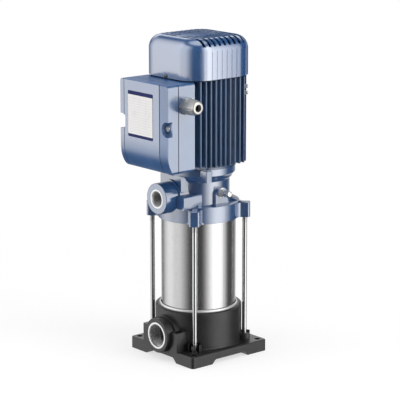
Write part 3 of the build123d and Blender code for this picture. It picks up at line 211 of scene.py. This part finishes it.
# Gloss paint and glossy moulded plastic: orange peel, colour drift and fine scuffs, patches of less coat
# (a grained strip, and painted shade), and dark lines in the joints between two mouldings
blueGloss = dict(
    colour=(0.016, 0.066, 0.19), paler=(0.024, 0.088, 0.23), worn=(0.10, 0.16, 0.27), wear=0.35,
    driftNoise=dict(scale=22, detail=4), driftRise=(0.35, 0.7), driftRough=0.08,
    scuffNoise=dict(scale=900, detail=5, rough=0.7), scuffs=(1, 1, 0.25), scuffRise=(0.68, 0.8),
    scuffRough=0.25, scuffDulls=0.6,
    peelNoise=dict(scale=260, detail=2), peel=0.00006,
    grainNoise=dict(scale=1400, detail=5, rough=0.65), grain=0.00002,
    rough=0.34, ior=1.5, coat=1.0, coatRough=0.12, coatIor=3.0, belly=0, dullsAndShade=(), seams=(),
)
boxPatches = dict(  # in metres of the shared frame: the plastic box's joints, and where its gloss is less, partly painted shade
    seams=(
        dict(axis=0, middle=0.0406, half=0.0009),
        dict(axis=0, middle=-0.052, half=0.0006),
        dict(axis=1, middle=-0.095, half=0.0008),
    ),
    seamsBefore=-0.095,
    seamColour=(0.006, 0.016, 0.04),
    dullsAndShade=(
        dict(axis=0, start=0.0406, end=0.0407, before=-0.1165, half=1, gloss=0.52),  # grained strip
        dict(axis=2, start=0.4775, end=0.4788, before=0, half=1, gloss=0.08),  # painted shade: less gloss on the top face, under the fan cover
        dict(axis=2, start=0.386, end=0.352, before=-0.095, half=0.0605, gloss=0.35),  # painted shade: less gloss low on the front, darker towards the bottom
    ),
)


def paintFinish(name, look):
    made, shade = newMaterial(name)
    place = shade.place()
    drift = shade.noise(place, **look["driftNoise"])
    colour = shade.mix(drift.rise(*look["driftRise"]), look["colour"], look["paler"])
    scuff = shade.noise(shade.stretch(place, look["scuffs"]), **look["scuffNoise"]).rise(*look["scuffRise"])
    colour = shade.mix(scuff * look["wear"], colour, look["worn"])
    peel = shade.noise(place, **look["peelNoise"])
    grain = shade.noise(place, **look["grainNoise"])
    normal = shade.bump(grain, look["grain"], shade.bump(peel, look["peel"]))
    spans = shade.axes(place)
    if look["belly"]:  # side sheets pressed slightly outwards
        normal = shade.bump(spans[1] * spans[1] * -look["belly"], 1.0, normal)
    rough = look["rough"] + drift * look["driftRough"] + scuff * look["scuffRough"]
    coat = (1.0 - scuff * look["scuffDulls"]) * look["coat"]
    # less coat on a grained strip, and painted shade on the box's top and lower front
    for dull in look["dullsAndShade"]:
        inDullAndShade = spans[dull["axis"]].rise(dull["start"], dull["end"])
        inDullAndShade = inDullAndShade * (spans[1] < dull["before"]) * (abs(spans[0]) < dull["half"])
        coat = coat * (1 - inDullAndShade * (1 - dull["gloss"]))
    for seam in look["seams"]:
        inSeam = abs(spans[seam["axis"]] - seam["middle"]) < seam["half"]
        inSeam = inSeam * (spans[1] < look["seamsBefore"])
        colour = shade.mix(inSeam, colour, look["seamColour"])
        coat = coat * (1 - inSeam)
    finishMaterial(shade, {
        "Base Color": colour, "Roughness": rough, "Normal": normal, "IOR": look["ior"],
        "Coat Weight": coat, "Coat Roughness": look["coatRough"], "Coat IOR": look["coatIor"],
    })
    return made


# Bare and plated metals: drawn, turned or polished, with fine lines along one way and faint stains
steelLook = dict(
    colour=(0.47, 0.47, 0.475), paler=(0.56, 0.56, 0.56), metal=1.0, rough=0.13,
    lines=(1, 1, 0.02), lineNoise=dict(scale=1000, detail=4, rough=0.6), lineRise=(0.3, 0.7),
    streak=0.1, depth=0.00001, cloudNoise=dict(scale=28, detail=3), cloudRough=0.05,
    stainNoise=dict(scale=90, detail=5, rough=0.7), stainRise=(0.58, 0.82), stainRough=0.1,
    stain=0.15, stained=(0.38, 0.38, 0.37),
)


def metalFinish(name, look):
    made, shade = newMaterial(name)
    place = shade.place()
    lines = shade.noise(shade.stretch(place, look["lines"]), **look["lineNoise"])
    cloud = shade.noise(place, **look["cloudNoise"])
    stain = shade.noise(place, **look["stainNoise"]).rise(*look["stainRise"])
    colour = shade.mix(lines.rise(*look["lineRise"]), look["colour"], look["paler"])
    colour = shade.mix(stain * look["stain"], colour, look["stained"])
    rough = look["rough"] + lines * look["streak"] + cloud * look["cloudRough"] + stain * look["stainRough"]
    finishMaterial(shade, {
        "Base Color": colour, "Metallic": look["metal"], "Roughness": rough,
        "Normal": shade.bump(lines, look["depth"]),
    })
    return made


# Sand-cast iron under black paint: coarse skin, pits and rubbed high spots
castLook = dict(
    colour=(0.008, 0.008, 0.009), paler=(0.016, 0.016, 0.017), worn=(0.06, 0.06, 0.06), wear=0.4,
    skinNoise=dict(scale=520, detail=5, rough=0.65), skinRise=(0.6, 0.74), skinDepth=0.0002, skinRough=0.2,
    pitScale=240, pitRise=(0.05, 0.3), pitDepth=0.00012,
    cloudNoise=dict(scale=35, detail=4), cloudRise=(0.3, 0.75),
    rough=0.4, coat=0.45, coatRough=0.17, coatIor=1.5,
)


def castFinish(name, look):
    made, shade = newMaterial(name)
    place = shade.place()
    skin = shade.noise(place, **look["skinNoise"])
    pits = shade.num("ShaderNodeTexVoronoi", None, {"Vector": place, "Scale": look["pitScale"]})
    pit = 1 - pits.rise(*look["pitRise"])
    cloud = shade.noise(place, **look["cloudNoise"])
    colour = shade.mix(cloud.rise(*look["cloudRise"]), look["colour"], look["paler"])
    colour = shade.mix(skin.rise(*look["skinRise"]) * look["wear"], colour, look["worn"])
    normal = shade.bump(pit * -1, look["pitDepth"], shade.bump(skin, look["skinDepth"]))
    finishMaterial(shade, {
        "Base Color": colour, "Roughness": look["rough"] + skin * look["skinRough"], "Normal": normal,
        "Coat Weight": look["coat"], "Coat Roughness": look["coatRough"], "Coat IOR": look["coatIor"],
    })
    return made


# Moulded rubber, matte plastic, ceramic: fine tooth and faint flow marks
mouldLook = dict(
    toothNoise=dict(scale=1600, detail=3),
    flows=(1, 1, 0.2), flowNoise=dict(scale=60, detail=4), flowRise=(0.35, 0.75), flowRough=0.12,
)


def mouldFinish(name, look):
    made, shade = newMaterial(name)
    place = shade.place()
    tooth = shade.noise(place, **look["toothNoise"])
    flow = shade.noise(shade.stretch(place, look["flows"]), **look["flowNoise"])
    colour = shade.mix(flow.rise(*look["flowRise"]), look["colour"], look["paler"])
    finishMaterial(shade, {
        "Base Color": colour, "Roughness": look["rough"] + flow * look["flowRough"],
        "Normal": shade.bump(tooth, look["tooth"]),
    })
    return made


# Stacked laminations: thin bands across the shaft axis, with rust in a few
laminationLook = dict(
    colour=(0.1, 0.1, 0.11), paler=(0.3, 0.3, 0.31), pitch=0.001, depth=0.0001, metal=1.0, rough=0.4,
    rusts=(1, 1, 6), rustNoise=dict(scale=70, detail=5), rustRise=(0.55, 0.75),
    rust=(0.16, 0.06, 0.025), rustTint=0.6, rustDulls=0.8, rustRough=0.3,
)


def laminationFinish(name, look):
    made, shade = newMaterial(name)
    place = shade.place()
    band = shade.axes(place)[2].waves(look["pitch"])
    rust = shade.noise(shade.stretch(place, look["rusts"]), **look["rustNoise"]).rise(*look["rustRise"])
    colour = shade.mix(band, look["colour"], look["paler"])
    colour = shade.mix(rust * look["rustTint"], colour, look["rust"])
    finishMaterial(shade, {
        "Base Color": colour, "Metallic": look["metal"] - rust * look["rustDulls"],
        "Roughness": look["rough"] + rust * look["rustRough"], "Normal": shade.bump(band, look["depth"]),
    })
    return made


# Varnished copper wire, wound in layers round the shaft axis
windingLook = dict(
    colour=(0.5, 0.17, 0.055), paler=(0.2, 0.055, 0.02), wire=0.0011, lean=0.4, depth=0.0004,
    waveNoise=dict(scale=55, detail=3), wave=0.002,
    metal=0.6, strandMetal=0.3, rough=0.3, strandRough=0.2, coat=0.6, coatRough=0.2,
)


def windingFinish(name, look):
    made, shade = newMaterial(name)
    place = shade.place()
    x, y, z = shade.axes(place)
    reach = (x * x + y * y) ** 0.5
    wave = shade.noise(place, **look["waveNoise"]) * look["wave"]
    strand = (reach + z * look["lean"] + wave).waves(look["wire"])
    colour = shade.mix(strand, look["paler"], look["colour"])
    finishMaterial(shade, {
        "Base Color": colour, "Metallic": look["metal"] + strand * look["strandMetal"],
        "Roughness": look["rough"] + strand * look["strandRough"],
        "Normal": shade.bump(1 - strand, look["depth"]),
        "Coat Weight": look["coat"], "Coat Roughness": look["coatRough"],
    })
    return made


# Rating plate: white foil with navy bands, ruled lines and a faint print grain, no lettering
plateLook = dict(  # places, widths and margins in millimetres
    left=-41, right=23.2, low=384, high=461, topBand=6.2, footBand=5.0, border=0.6,
    line=0.3, rows=4.3, columns=((-12.2, -11.9), (5.8, 6.1)), sideMargin=3, footMargin=8, topMargin=10,
    colour=(0.82, 0.81, 0.8), ink=(0.005, 0.012, 0.1), ruled=(0.4, 0.42, 0.47), ruleTint=0.6,
    edge=(0.5, 0.52, 0.56), edgeTint=0.6, soil=(0.62, 0.6, 0.57), soilTint=0.35, soilRough=0.2,
    soilNoise=dict(scale=70, detail=5), soilRise=(0.5, 0.85),
    grainNoise=dict(scale=1500, detail=2), grain=0.00002, rough=0.45, ior=1.3,
)


def plateFinish(name, look):
    made, shade = newMaterial(name)
    place = shade.place()
    spans = shade.axes(place)
    across = spans[0] * 1000  # metres to millimetres
    up = spans[2] * 1000
    ink = (up > look["high"] - look["topBand"]).most(up < look["low"] + look["footBand"])
    field = across.within(look["left"] + look["sideMargin"], look["right"] - look["sideMargin"])
    field = field * up.within(look["low"] + look["footMargin"], look["high"] - look["topMargin"])
    rule = ((up - look["low"]).cycle(look["rows"]) < look["line"]) * field
    first, second = look["columns"]
    column = across.within(*first).most(across.within(*second)) * field
    border = 1 - across.within(look["left"] + look["border"], look["right"] - look["border"])
    soil = shade.noise(place, **look["soilNoise"]).rise(*look["soilRise"])
    colour = shade.mix(soil * look["soilTint"], look["colour"], look["soil"])
    colour = shade.mix(rule.most(column) * look["ruleTint"], colour, look["ruled"])
    colour = shade.mix(border * look["edgeTint"], colour, look["edge"])
    colour = shade.mix(ink, colour, look["ink"])
    grain = shade.noise(place, **look["grainNoise"])
    finishMaterial(shade, {
        "Base Color": colour, "Roughness": look["rough"] + soil * look["soilRough"], "IOR": look["ior"],
        "Normal": shade.bump(grain, look["grain"]),
    })
    return made


finishes = {  # one entry per material slot of the record
    "blue_cast_iron": (paintFinish, dict(
        blueGloss, peel=0.00012, peelNoise=dict(scale=210, detail=2), grain=0.00005)),
    "blue_steel_sheet": (paintFinish, dict(
        blueGloss, colour=(0.018, 0.085, 0.25), paler=(0.026, 0.11, 0.3), rough=0.1, ior=3.9, coat=0.0,
        belly=1.0)),
    "navy_aluminium": (paintFinish, dict(
        blueGloss, colour=(0.02, 0.062, 0.15), paler=(0.03, 0.082, 0.19), grain=0.00006, rough=0.42,
        coatRough=0.24, coatIor=1.95)),
    "box_plastic": (paintFinish, dict(
        blueGloss, colour=(0.024, 0.09, 0.24), paler=(0.034, 0.11, 0.28), grain=0.00004,
        coatRough=0.2, coatIor=3.1, **boxPatches)),
    "black_cast_iron": (castFinish, castLook),
    "polished_stainless": (metalFinish, dict(
        steelLook, rough=0.09, streak=0.08, lines=(0.25, 0.25, 3), metal=0.93)),
    "bright_ring": (metalFinish, dict(
        steelLook, colour=(0.84, 0.84, 0.84), paler=(0.92, 0.92, 0.92), rough=0.3, lines=(0.2, 0.2, 4),
        metal=0.7)),
    "stainless_bar": (metalFinish, dict(steelLook, paler=(0.68, 0.68, 0.68), rough=0.12)),
    "dark_fastener": (metalFinish, dict(
        steelLook, colour=(0.13, 0.13, 0.135), paler=(0.24, 0.24, 0.245), rough=0.26, depth=0.00003)),
    "plated_plug": (metalFinish, dict(
        steelLook, colour=(0.72, 0.72, 0.71), paler=(0.84, 0.84, 0.83), rough=0.2, metal=0.75)),
    "bright_knob": (metalFinish, dict(
        steelLook, colour=(0.86, 0.86, 0.85), paler=(0.93, 0.93, 0.92), rough=0.12)),
    "gland_nickel": (metalFinish, dict(
        steelLook, colour=(0.68, 0.66, 0.62), paler=(0.78, 0.76, 0.72), rough=0.3, stain=0.2, metal=0.88)),
    "pressed_stainless": (metalFinish, dict(steelLook, rough=0.2, metal=0.72)),
    "bearing_steel": (metalFinish, dict(steelLook, rough=0.08, lines=(0.3, 0.3, 3))),
    "shaft_steel": (metalFinish, dict(steelLook, rough=0.18, lines=(0.2, 0.2, 4))),
    "stud_brass": (metalFinish, dict(
        steelLook, colour=(0.62, 0.42, 0.16), paler=(0.75, 0.55, 0.25), stained=(0.3, 0.18, 0.08))),
    "lamination_steel": (laminationFinish, laminationLook),
    "winding_copper": (windingFinish, windingLook),
    "plate_white": (plateFinish, plateLook),
    "seal_rubber": (mouldFinish, dict(
        mouldLook, colour=(0.012, 0.012, 0.012), paler=(0.03, 0.03, 0.03), rough=0.62, tooth=0.00003)),
    "stage_plastic": (mouldFinish, dict(
        mouldLook, colour=(0.02, 0.02, 0.021), paler=(0.045, 0.045, 0.046), rough=0.45, tooth=0.00002)),
    "fan_plastic": (mouldFinish, dict(
        mouldLook, colour=(0.012, 0.014, 0.018), paler=(0.028, 0.03, 0.036), rough=0.42, tooth=0.00002)),
    "bush_carbon": (mouldFinish, dict(
        mouldLook, colour=(0.02, 0.02, 0.02), paler=(0.05, 0.05, 0.05), rough=0.35, tooth=0.00001)),
    "seal_ceramic": (mouldFinish, dict(
        mouldLook, colour=(0.68, 0.65, 0.58), paler=(0.76, 0.73, 0.67), rough=0.2, tooth=0.00001)),
    "board_plastic": (mouldFinish, dict(
        mouldLook, colour=(0.06, 0.022, 0.012), paler=(0.1, 0.04, 0.02), rough=0.4, tooth=0.00003)),
    "capacitor_can": (mouldFinish, dict(
        mouldLook, colour=(0.72, 0.72, 0.7), paler=(0.82, 0.82, 0.8), rough=0.3, tooth=0.00001)),
}
materials = {slot: make(slot, look) for slot, (make, look) in finishes.items()}
slotOf = {part["node"]: part["material_slot"] for part in frame["record"]["subparts"]}
for nodeName, obj in frame["nodes"].items():
    for holder in obj.material_slots:
        holder.material = materials[slotOf[nodeName]]
print("materials made:", len(materials))


# Mesh building
againstY = Matrix.Rotation(pi / 2, 4, "X")


def at(x, y, z, turn=None):
    return Matrix.Translation((x * mm, y * mm, z * mm)) @ (turn or Matrix())


def around(reach, angle, high):
    return Vector((reach * cos(angle) * mm, reach * sin(angle) * mm, high * mm))


def turned(bm, loops, count, where):  # a loop is a reach and a height, or a function of the angle
    rings = []
    for loop in loops:
        ring = []
        for step in range(count):
            angle = 2 * pi * step / count
            reach, high = loop(angle) if callable(loop) else loop
            ring.append(bm.verts.new(where @ around(reach, angle, high)))
        rings.append(ring)
    for low, high in zip(rings, rings[1:]):
        for step in range(count):
            after = (step + 1) % count
            bm.faces.new((low[step], low[after], high[after], high[step]))
    return rings


def ridge(bm, reach, height, pitch, length, wide, where, steps=40):  # thread ridge on a helix
    total = ceil(length / pitch * steps)
    rows = []
    for step in range(total + 1):
        angle = 2 * pi * step / steps
        along = length * step / total
        fade = min(1, step / steps * 2, (total - step) / steps * 2)  # half a turn at each end
        rows.append([
            bm.verts.new(where @ around(r, angle, along + shift))
            for r, shift in ((reach, -wide / 2), (reach + height * fade, 0), (reach, wide / 2))
        ])
    for first, second in zip(rows, rows[1:]):
        bm.faces.new((first[0], first[1], second[1], second[0]))
        bm.faces.new((first[1], first[2], second[2], second[1]))


def bar(bm, start, end, radius, sides=10, dome=3):  # round bar with domed ends
    start, end = Vector(start) * mm, Vector(end) * mm
    way = (end - start).normalized()
    where = Matrix.Translation(start) @ way.to_track_quat("Z", "Y").to_matrix().to_4x4()
    length = (end - start).length / mm
    first = [(radius * sin(pi / 2 * k / dome), -radius * cos(pi / 2 * k / dome)) for k in range(1, dome + 1)]
    last = [(radius * cos(pi / 2 * k / dome), length + radius * sin(pi / 2 * k / dome)) for k in range(dome)]
    rings = turned(bm, first + last, sides, where)
    bm.faces.new(list(reversed(rings[0])))
    bm.faces.new(rings[-1])


def piece(name, bm, body, slot, sharp=35):
    bmesh.ops.recalc_face_normals(bm, faces=bm.faces)
    for edge in bm.edges:
        edge.smooth = not (len(edge.link_faces) == 2 and edge.calc_face_angle(0) > radians(sharp))
    for face in bm.faces:
        face.smooth = True
    mesh = bpy.data.meshes.new(name)
    bm.to_mesh(mesh)
    bm.free()
    mesh.materials.append(materials[slot])
    made = bpy.data.objects.new(name, mesh)
    bpy.context.scene.collection.objects.link(made)
    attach(made, body)
    return made


# Bright flat rim, machined bore and pipe thread of each port
ports = {
    "suction": dict(bore=19.5, way=17.0, face=-93.4, z=41.8, rimIn=19.7, rimOut=22.7),
    "discharge": dict(bore=12.1, way=10.5, face=-91.5, z=279.0, rimIn=13.5, rimOut=16.0),
}
portCut = dict(
    chamfer=3.0, proud=0.04, thread=21.0, lined=34.0, pitch=2.309, deep=1.0, wide=2.0, sunk=0.1, clear=0.3,
    sides=96,
)
for name, port in ports.items():
    gap = portCut["proud"]
    rimFoot = 1.5 * gap - portCut["chamfer"]  # clear of the cast chamfer below it
    bm = bmesh.new()
    loops = [(port["rimOut"], 0), (port["rimOut"], gap), (port["rimIn"], gap), (port["bore"] - gap, rimFoot)]
    turned(bm, loops, portCut["sides"], at(0, port["face"], port["z"], againstY))
    piece(name + "Rim", bm, "pump_body", "bright_ring")
    bm = bmesh.new()
    loops = [
        (port["bore"] - gap, rimFoot), (port["bore"] - gap, gap - portCut["thread"]),
        (port["way"] - gap, gap - portCut["thread"]), (port["way"] - gap, -portCut["lined"]),
    ]
    turned(bm, loops, portCut["sides"], at(0, port["face"], port["z"], againstY))
    piece(name + "Lining", bm, "pump_body", "pressed_stainless")
    bm = bmesh.new()
    length = portCut["thread"] - portCut["chamfer"] - 2 * portCut["clear"]
    where = at(0, port["face"] + portCut["thread"] - portCut["clear"], port["z"], againstY)
    reach = port["bore"] + portCut["sunk"]
    ridge(bm, reach, -portCut["deep"], portCut["pitch"], length, portCut["wide"], where)
    piece(name + "Thread", bm, "pump_body", "pressed_stainless", sharp=80)

# Foot of the sleeve: a bright band that stands up from the dark lip of the base casting
foot = dict(
    lip=((71.2, 83.0), (71.2, 83.8), (70.6, 84.3), (69.3, 84.3), (68.5, 83.7), (67.0, 83.7)),
    band=((67.1, 83.6), (67.1, 86.2), (66.7, 86.9), (65.9, 87.4), (64.92, 87.5)),
    sides=120,
)
bm = bmesh.new()
turned(bm, foot["lip"], foot["sides"], at(0, 0, 0))
piece("footLip", bm, "pump_body", "black_cast_iron")
bm = bmesh.new()
turned(bm, foot["band"], foot["sides"], at(0, 0, 0))
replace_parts(piece("footBand", bm, "pump_body", "bright_ring", sharp=60), "foot_ring")

# Rod ends: rolled thread above each nut and under each ear
rods = dict(
    at=55.9, reach=3.97, deep=0.32, pitch=1.25, wide=1.1, steps=24,
    spans=((29.8, 11.0), (226.5, 10.5)),  # foot and length of each thread
)
corners = [(x, y) for x in (-1, 1) for y in (-1, 1)]
bm = bmesh.new()
for sx, sy in corners:
    for low, length in rods["spans"]:
        where = at(sx * rods["at"], sy * rods["at"], low)
        ridge(bm, rods["reach"], rods["deep"], rods["pitch"], length, rods["wide"], where, rods["steps"])
piece("rodThreads", bm, "pump_body", "stainless_bar", sharp=80)

# Hexagon nuts with their chamfered corners, in place of the plain CAD ones
nut = dict(across=13.0, low=21.6, high=8.0, bore=4.05, lip=0.5, flat=0.97, bevel=30, sides=48)


def hexagon(across):
    return lambda angle: across / 2 / cos((angle + pi / 6) % (pi / 3) - pi / 6)


def nutLoops(across, high, bore, lip, flat, slope):
    edge = hexagon(across)
    inner = across / 2 * flat

    def lower(angle):
        return edge(angle), (edge(angle) - across / 2) * slope

    def upper(angle):
        return edge(angle), high - (edge(angle) - across / 2) * slope

    return [
        (bore, lip), (bore + lip, 0), (inner, 0), lower,
        upper, (inner, high), (bore + lip, high), (bore, high - lip),
    ]


slope = tan(radians(nut["bevel"]))
loops = nutLoops(nut["across"], nut["high"], nut["bore"], nut["lip"], nut["flat"], slope)
bm = bmesh.new()
for sx, sy in corners:
    turned(bm, loops + loops[:1], nut["sides"], at(sx * rods["at"], sy * rods["at"], nut["low"]))
bmesh.ops.remove_doubles(bm, verts=bm.verts, dist=1e-6)
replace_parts(piece("rodNuts", bm, "pump_body", "dark_fastener"), "tie_rod_nuts")
print("threads and nuts made")


# Cross-recessed screws of the box cover and the fan cover
def cross(arm, wide):
    def edge(angle):
        turn = angle % (pi / 2)
        turn = min(turn, pi / 2 - turn)
        return min(arm / cos(turn), wide / 2 / max(sin(turn), 1e-6))
    return edge


screwShape = dict(  # as parts of the head's radius and height
    arm=0.55, slot=0.28, side=0.4, shoulder=0.92, crown=0.72, rounded=0.75, taper=0.7, foot=0.35, floor=0.3,
)
axle = 0.01  # where a turned shape closes on its axis


def screwLoops(head, high, shank, length):
    shape = cross(head * screwShape["arm"], head * screwShape["slot"])
    return [
        (axle, -length), (shank, -length), (shank, 0), (head, 0), (head, high * screwShape["side"]),
        (head * screwShape["shoulder"], high * screwShape["rounded"]), (head * screwShape["crown"], high),
        lambda angle: (shape(angle), high),
        lambda angle: (shape(angle) * screwShape["taper"], high * screwShape["foot"]),
        (axle, high * screwShape["floor"]),
    ]


boxScrews = dict(x=51.2, y=-107.6, z=407.5, head=4.8, high=2.8, shank=2.0, length=25.4, sides=48)
coverScrews = dict(y=70.5, z=484.0, head=3.8, high=1.6, shank=1.9, length=9.0, sides=48)
bm = bmesh.new()
for side in (-1, 1):
    where = at(side * boxScrews["x"], boxScrews["y"], boxScrews["z"], againstY)
    loops = screwLoops(boxScrews["head"], boxScrews["high"], boxScrews["shank"], boxScrews["length"])
    turned(bm, loops, boxScrews["sides"], where)
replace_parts(piece("boxScrewHeads", bm, "pump_body", "plated_plug"), "box_screws")
bm = bmesh.new()
for side in (-1, 1):
    where = at(0, side * coverScrews["y"], coverScrews["z"], Matrix.Rotation(-side * pi / 2, 4, "X"))
    loops = screwLoops(coverScrews["head"], coverScrews["high"], coverScrews["shank"], coverScrews["length"])
    turned(bm, loops, coverScrews["sides"], where)
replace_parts(piece("coverScrewHeads", bm, "pump_body", "dark_fastener"), "fan_cover_screws")

# Two small earth screws on the frame's far corner, with the pads that they sit on
earth = dict(
    x=52.8, y=52.8, heights=(450.0, 461.0), way=(1, 1, 0), sides=24,
    outline=(
        (axle, 0), (3.6, 0), (3.6, 5.0), (1.9, 5.0),
        (1.9, 6.2), (3.2, 6.2), (3.2, 7.6), (2.2, 8.6), (axle, 8.8),
    ),
)
bm = bmesh.new()
outwards = Vector(earth["way"]).to_track_quat("Z", "Y").to_matrix().to_4x4()
for z in earth["heights"]:
    turned(bm, earth["outline"], earth["sides"], at(earth["x"], earth["y"], z, outwards))
piece("earthScrews", bm, "pump_body", "plated_plug")

# Grip ribs on the vent's knob and on the gland's dome nut
knob = dict(x=66.4, y=1.3, z=286.5, reach=5.4, endReach=5.4, length=10.4, rib=0.35, count=26, sides=8)
gland = dict(x=72.2, y=-79.0, z=443.5, reach=12.9, endReach=11.3, length=15.5, rib=1.0, count=18, sides=8)


def gripRibs(name, grip, body, slot):
    bm = bmesh.new()
    for step in range(grip["count"]):
        angle = 2 * pi * step / grip["count"]
        ends = []
        for x, reach in ((grip["x"], grip["reach"]), (grip["x"] + grip["length"], grip["endReach"])):
            ends.append((x, grip["y"] + reach * cos(angle), grip["z"] + reach * sin(angle)))
        bar(bm, *ends, grip["rib"], grip["sides"])
    piece(name, bm, body, slot)


gripRibs("knobRibs", knob, "vent_screw", "bright_knob")
gripRibs("glandRibs", gland, "pump_body", "gland_nickel")

# Rounded tips on the motor's cast fins
fins = dict(
    pitch=10.6, half=64.0, corner=26.0, low=334.0, high=478.0, thick=1.42, sunk=0.9,
    sideRows=6, backRows=2, sides=14,
)
bm = bmesh.new()
flat = fins["half"] - fins["corner"]
for row in range(-fins["sideRows"], fins["sideRows"]):
    y = (row + 0.5) * fins["pitch"]
    past = max(0, abs(y) - flat)
    x = flat + sqrt(fins["corner"] ** 2 - past ** 2) - fins["sunk"]
    for side in (-1, 1):
        bar(bm, (side * x, y, fins["low"]), (side * x, y, fins["high"]), fins["thick"], fins["sides"])
for row in range(-fins["backRows"], fins["backRows"]):
    x = (row + 0.5) * fins["pitch"]
    y = fins["half"] - fins["sunk"]
    bar(bm, (x, y, fins["low"]), (x, y, fins["high"]), fins["thick"], fins["sides"])
piece("finTips", bm, "pump_body", "navy_aluminium")
print("fasteners, grips and fin tips made")


# Studio: floor, soft lamps, and light boxes all round that only glossy rays see
studio = dict(
    ambient=0.62, dark=0.045, left=1.15, strip=0.25, right=2.3, behind=0.6, above=0.1, sky=1.4, lid=1.0,
    faceAzimuth=-40.35,
)
reaches = dict(  # turns to the side in degrees from where the camera stands, heights as the ray's rise
    left=(-150, -112, -66, -20), strip=(-97, 6, 20), right=(8, 55, 63, 108), behind=(128, 162),
    walls=(-0.5, -0.27, 0.6, 0.85), above=(-0.05, 0.1), sky=(0.2, 0.29, 0.45, 0.6), lid=(0.82, 0.97),
)
ground = dict(
    size=9.0, fade=(0.25, 0.9), glow=0.64, grainNoise=dict(scale=12, detail=2),
    colour=(0.95, 0.95, 0.95), paler=(0.98, 0.98, 0.98),
)


def makeFloor():
    size = ground["size"]
    mesh = bpy.data.meshes.new("floor")
    square = [(-size, -size, 0), (size, -size, 0), (size, size, 0), (-size, size, 0)]
    mesh.from_pydata(square, [], [(0, 1, 2, 3)])
    floor = bpy.data.objects.new("floor", mesh)
    bpy.context.scene.collection.objects.link(floor)
    made, shade = newMaterial("floorWhite")
    camera, glossy, through = shade.rays()
    place = shade.place()
    x, y = shade.axes(place)[:2]
    far = ((x * x + y * y) ** 0.5).rise(*ground["fade"])
    grain = shade.noise(place, **ground["grainNoise"])
    tint = shade.mix(grain, ground["colour"], ground["paler"])
    lit = shade.node("ShaderNodeBsdfDiffuse", None, {"Color": tint})
    glow = shade.node("ShaderNodeEmission", None, {"Color": (1, 1, 1, 1), "Strength": 1.0})
    near = shade.mixShaders(ground["glow"], lit, glow)
    plain = shade.mixShaders(camera, lit, shade.mixShaders(far, near, glow))
    clear = shade.node("ShaderNodeBsdfTransparent")
    final = shade.mixShaders(glossy.most(through), plain, clear)
    shade.node("ShaderNodeOutputMaterial", None, {"Surface": final.outputs[0]})
    mesh.materials.append(made)


def makeWorld():
    world = bpy.data.worlds.new("studio")
    world.use_nodes = True
    bpy.context.scene.world = world
    shade = Shade(world.node_tree)
    camera, glossy, through = shade.rays()
    x, y, z = shade.axes(shade.node("ShaderNodeTexCoord").outputs["Generated"])
    face = radians(studio["faceAzimuth"])
    front = x * cos(face) + y * sin(face)
    right = y * cos(face) - x * sin(face)
    turn = right.math("ARCTAN2", right, front) * (180 / pi)
    leftBox = turn.band(*reaches["left"]) * studio["left"]
    stripAt, stripFull, stripEnd = reaches["strip"]
    strip = (1 - abs(turn - stripAt).rise(stripFull, stripEnd)) * studio["strip"]
    rightBox = turn.band(*reaches["right"]) * studio["right"]
    behind = abs(turn).rise(*reaches["behind"])
    back = behind * (studio["behind"] + (studio["above"] - studio["behind"]) * z.rise(*reaches["above"]))
    back = back + behind * z.band(*reaches["sky"]) * studio["sky"]
    lid = z.rise(*reaches["lid"]) * studio["lid"]
    boxes = (leftBox + strip + rightBox) * z.band(*reaches["walls"]) + back + lid + studio["dark"]
    white = camera.most(through)  # what the camera sees, straight or through glass
    level = boxes * glossy + (1 - glossy) * studio["ambient"]
    level = white + (1 - white) * level
    background = shade.node("ShaderNodeBackground", None, {"Color": (1, 1, 1, 1), "Strength": level})
    shade.node("ShaderNodeOutputWorld", None, {"Surface": background.outputs[0]})
    world.cycles.sampling_method = "NONE"


lampAim = Vector((0, 0, 0.27))
lamps = {
    "rightLamp": dict(place=(2.2, 0.9, 1.6), size=1.4, power=26),
    "leftLamp": dict(place=(-1.4, -2.2, 1.5), size=1.6, power=17),
    "topLamp": dict(place=(0.3, -0.3, 2.6), size=1.6, power=18),
}


def makeLamps():
    for name, lamp in lamps.items():
        data = bpy.data.lights.new(name, "AREA")
        data.size = lamp["size"]
        data.energy = lamp["power"]
        made = bpy.data.objects.new(name, data)
        made.location = lamp["place"]
        made.rotation_euler = (lampAim - made.location).to_track_quat("-Z", "Y").to_euler()
        made.visible_glossy = False
        bpy.context.scene.collection.objects.link(made)


makeFloor()
makeWorld()
makeLamps()
print("studio made")
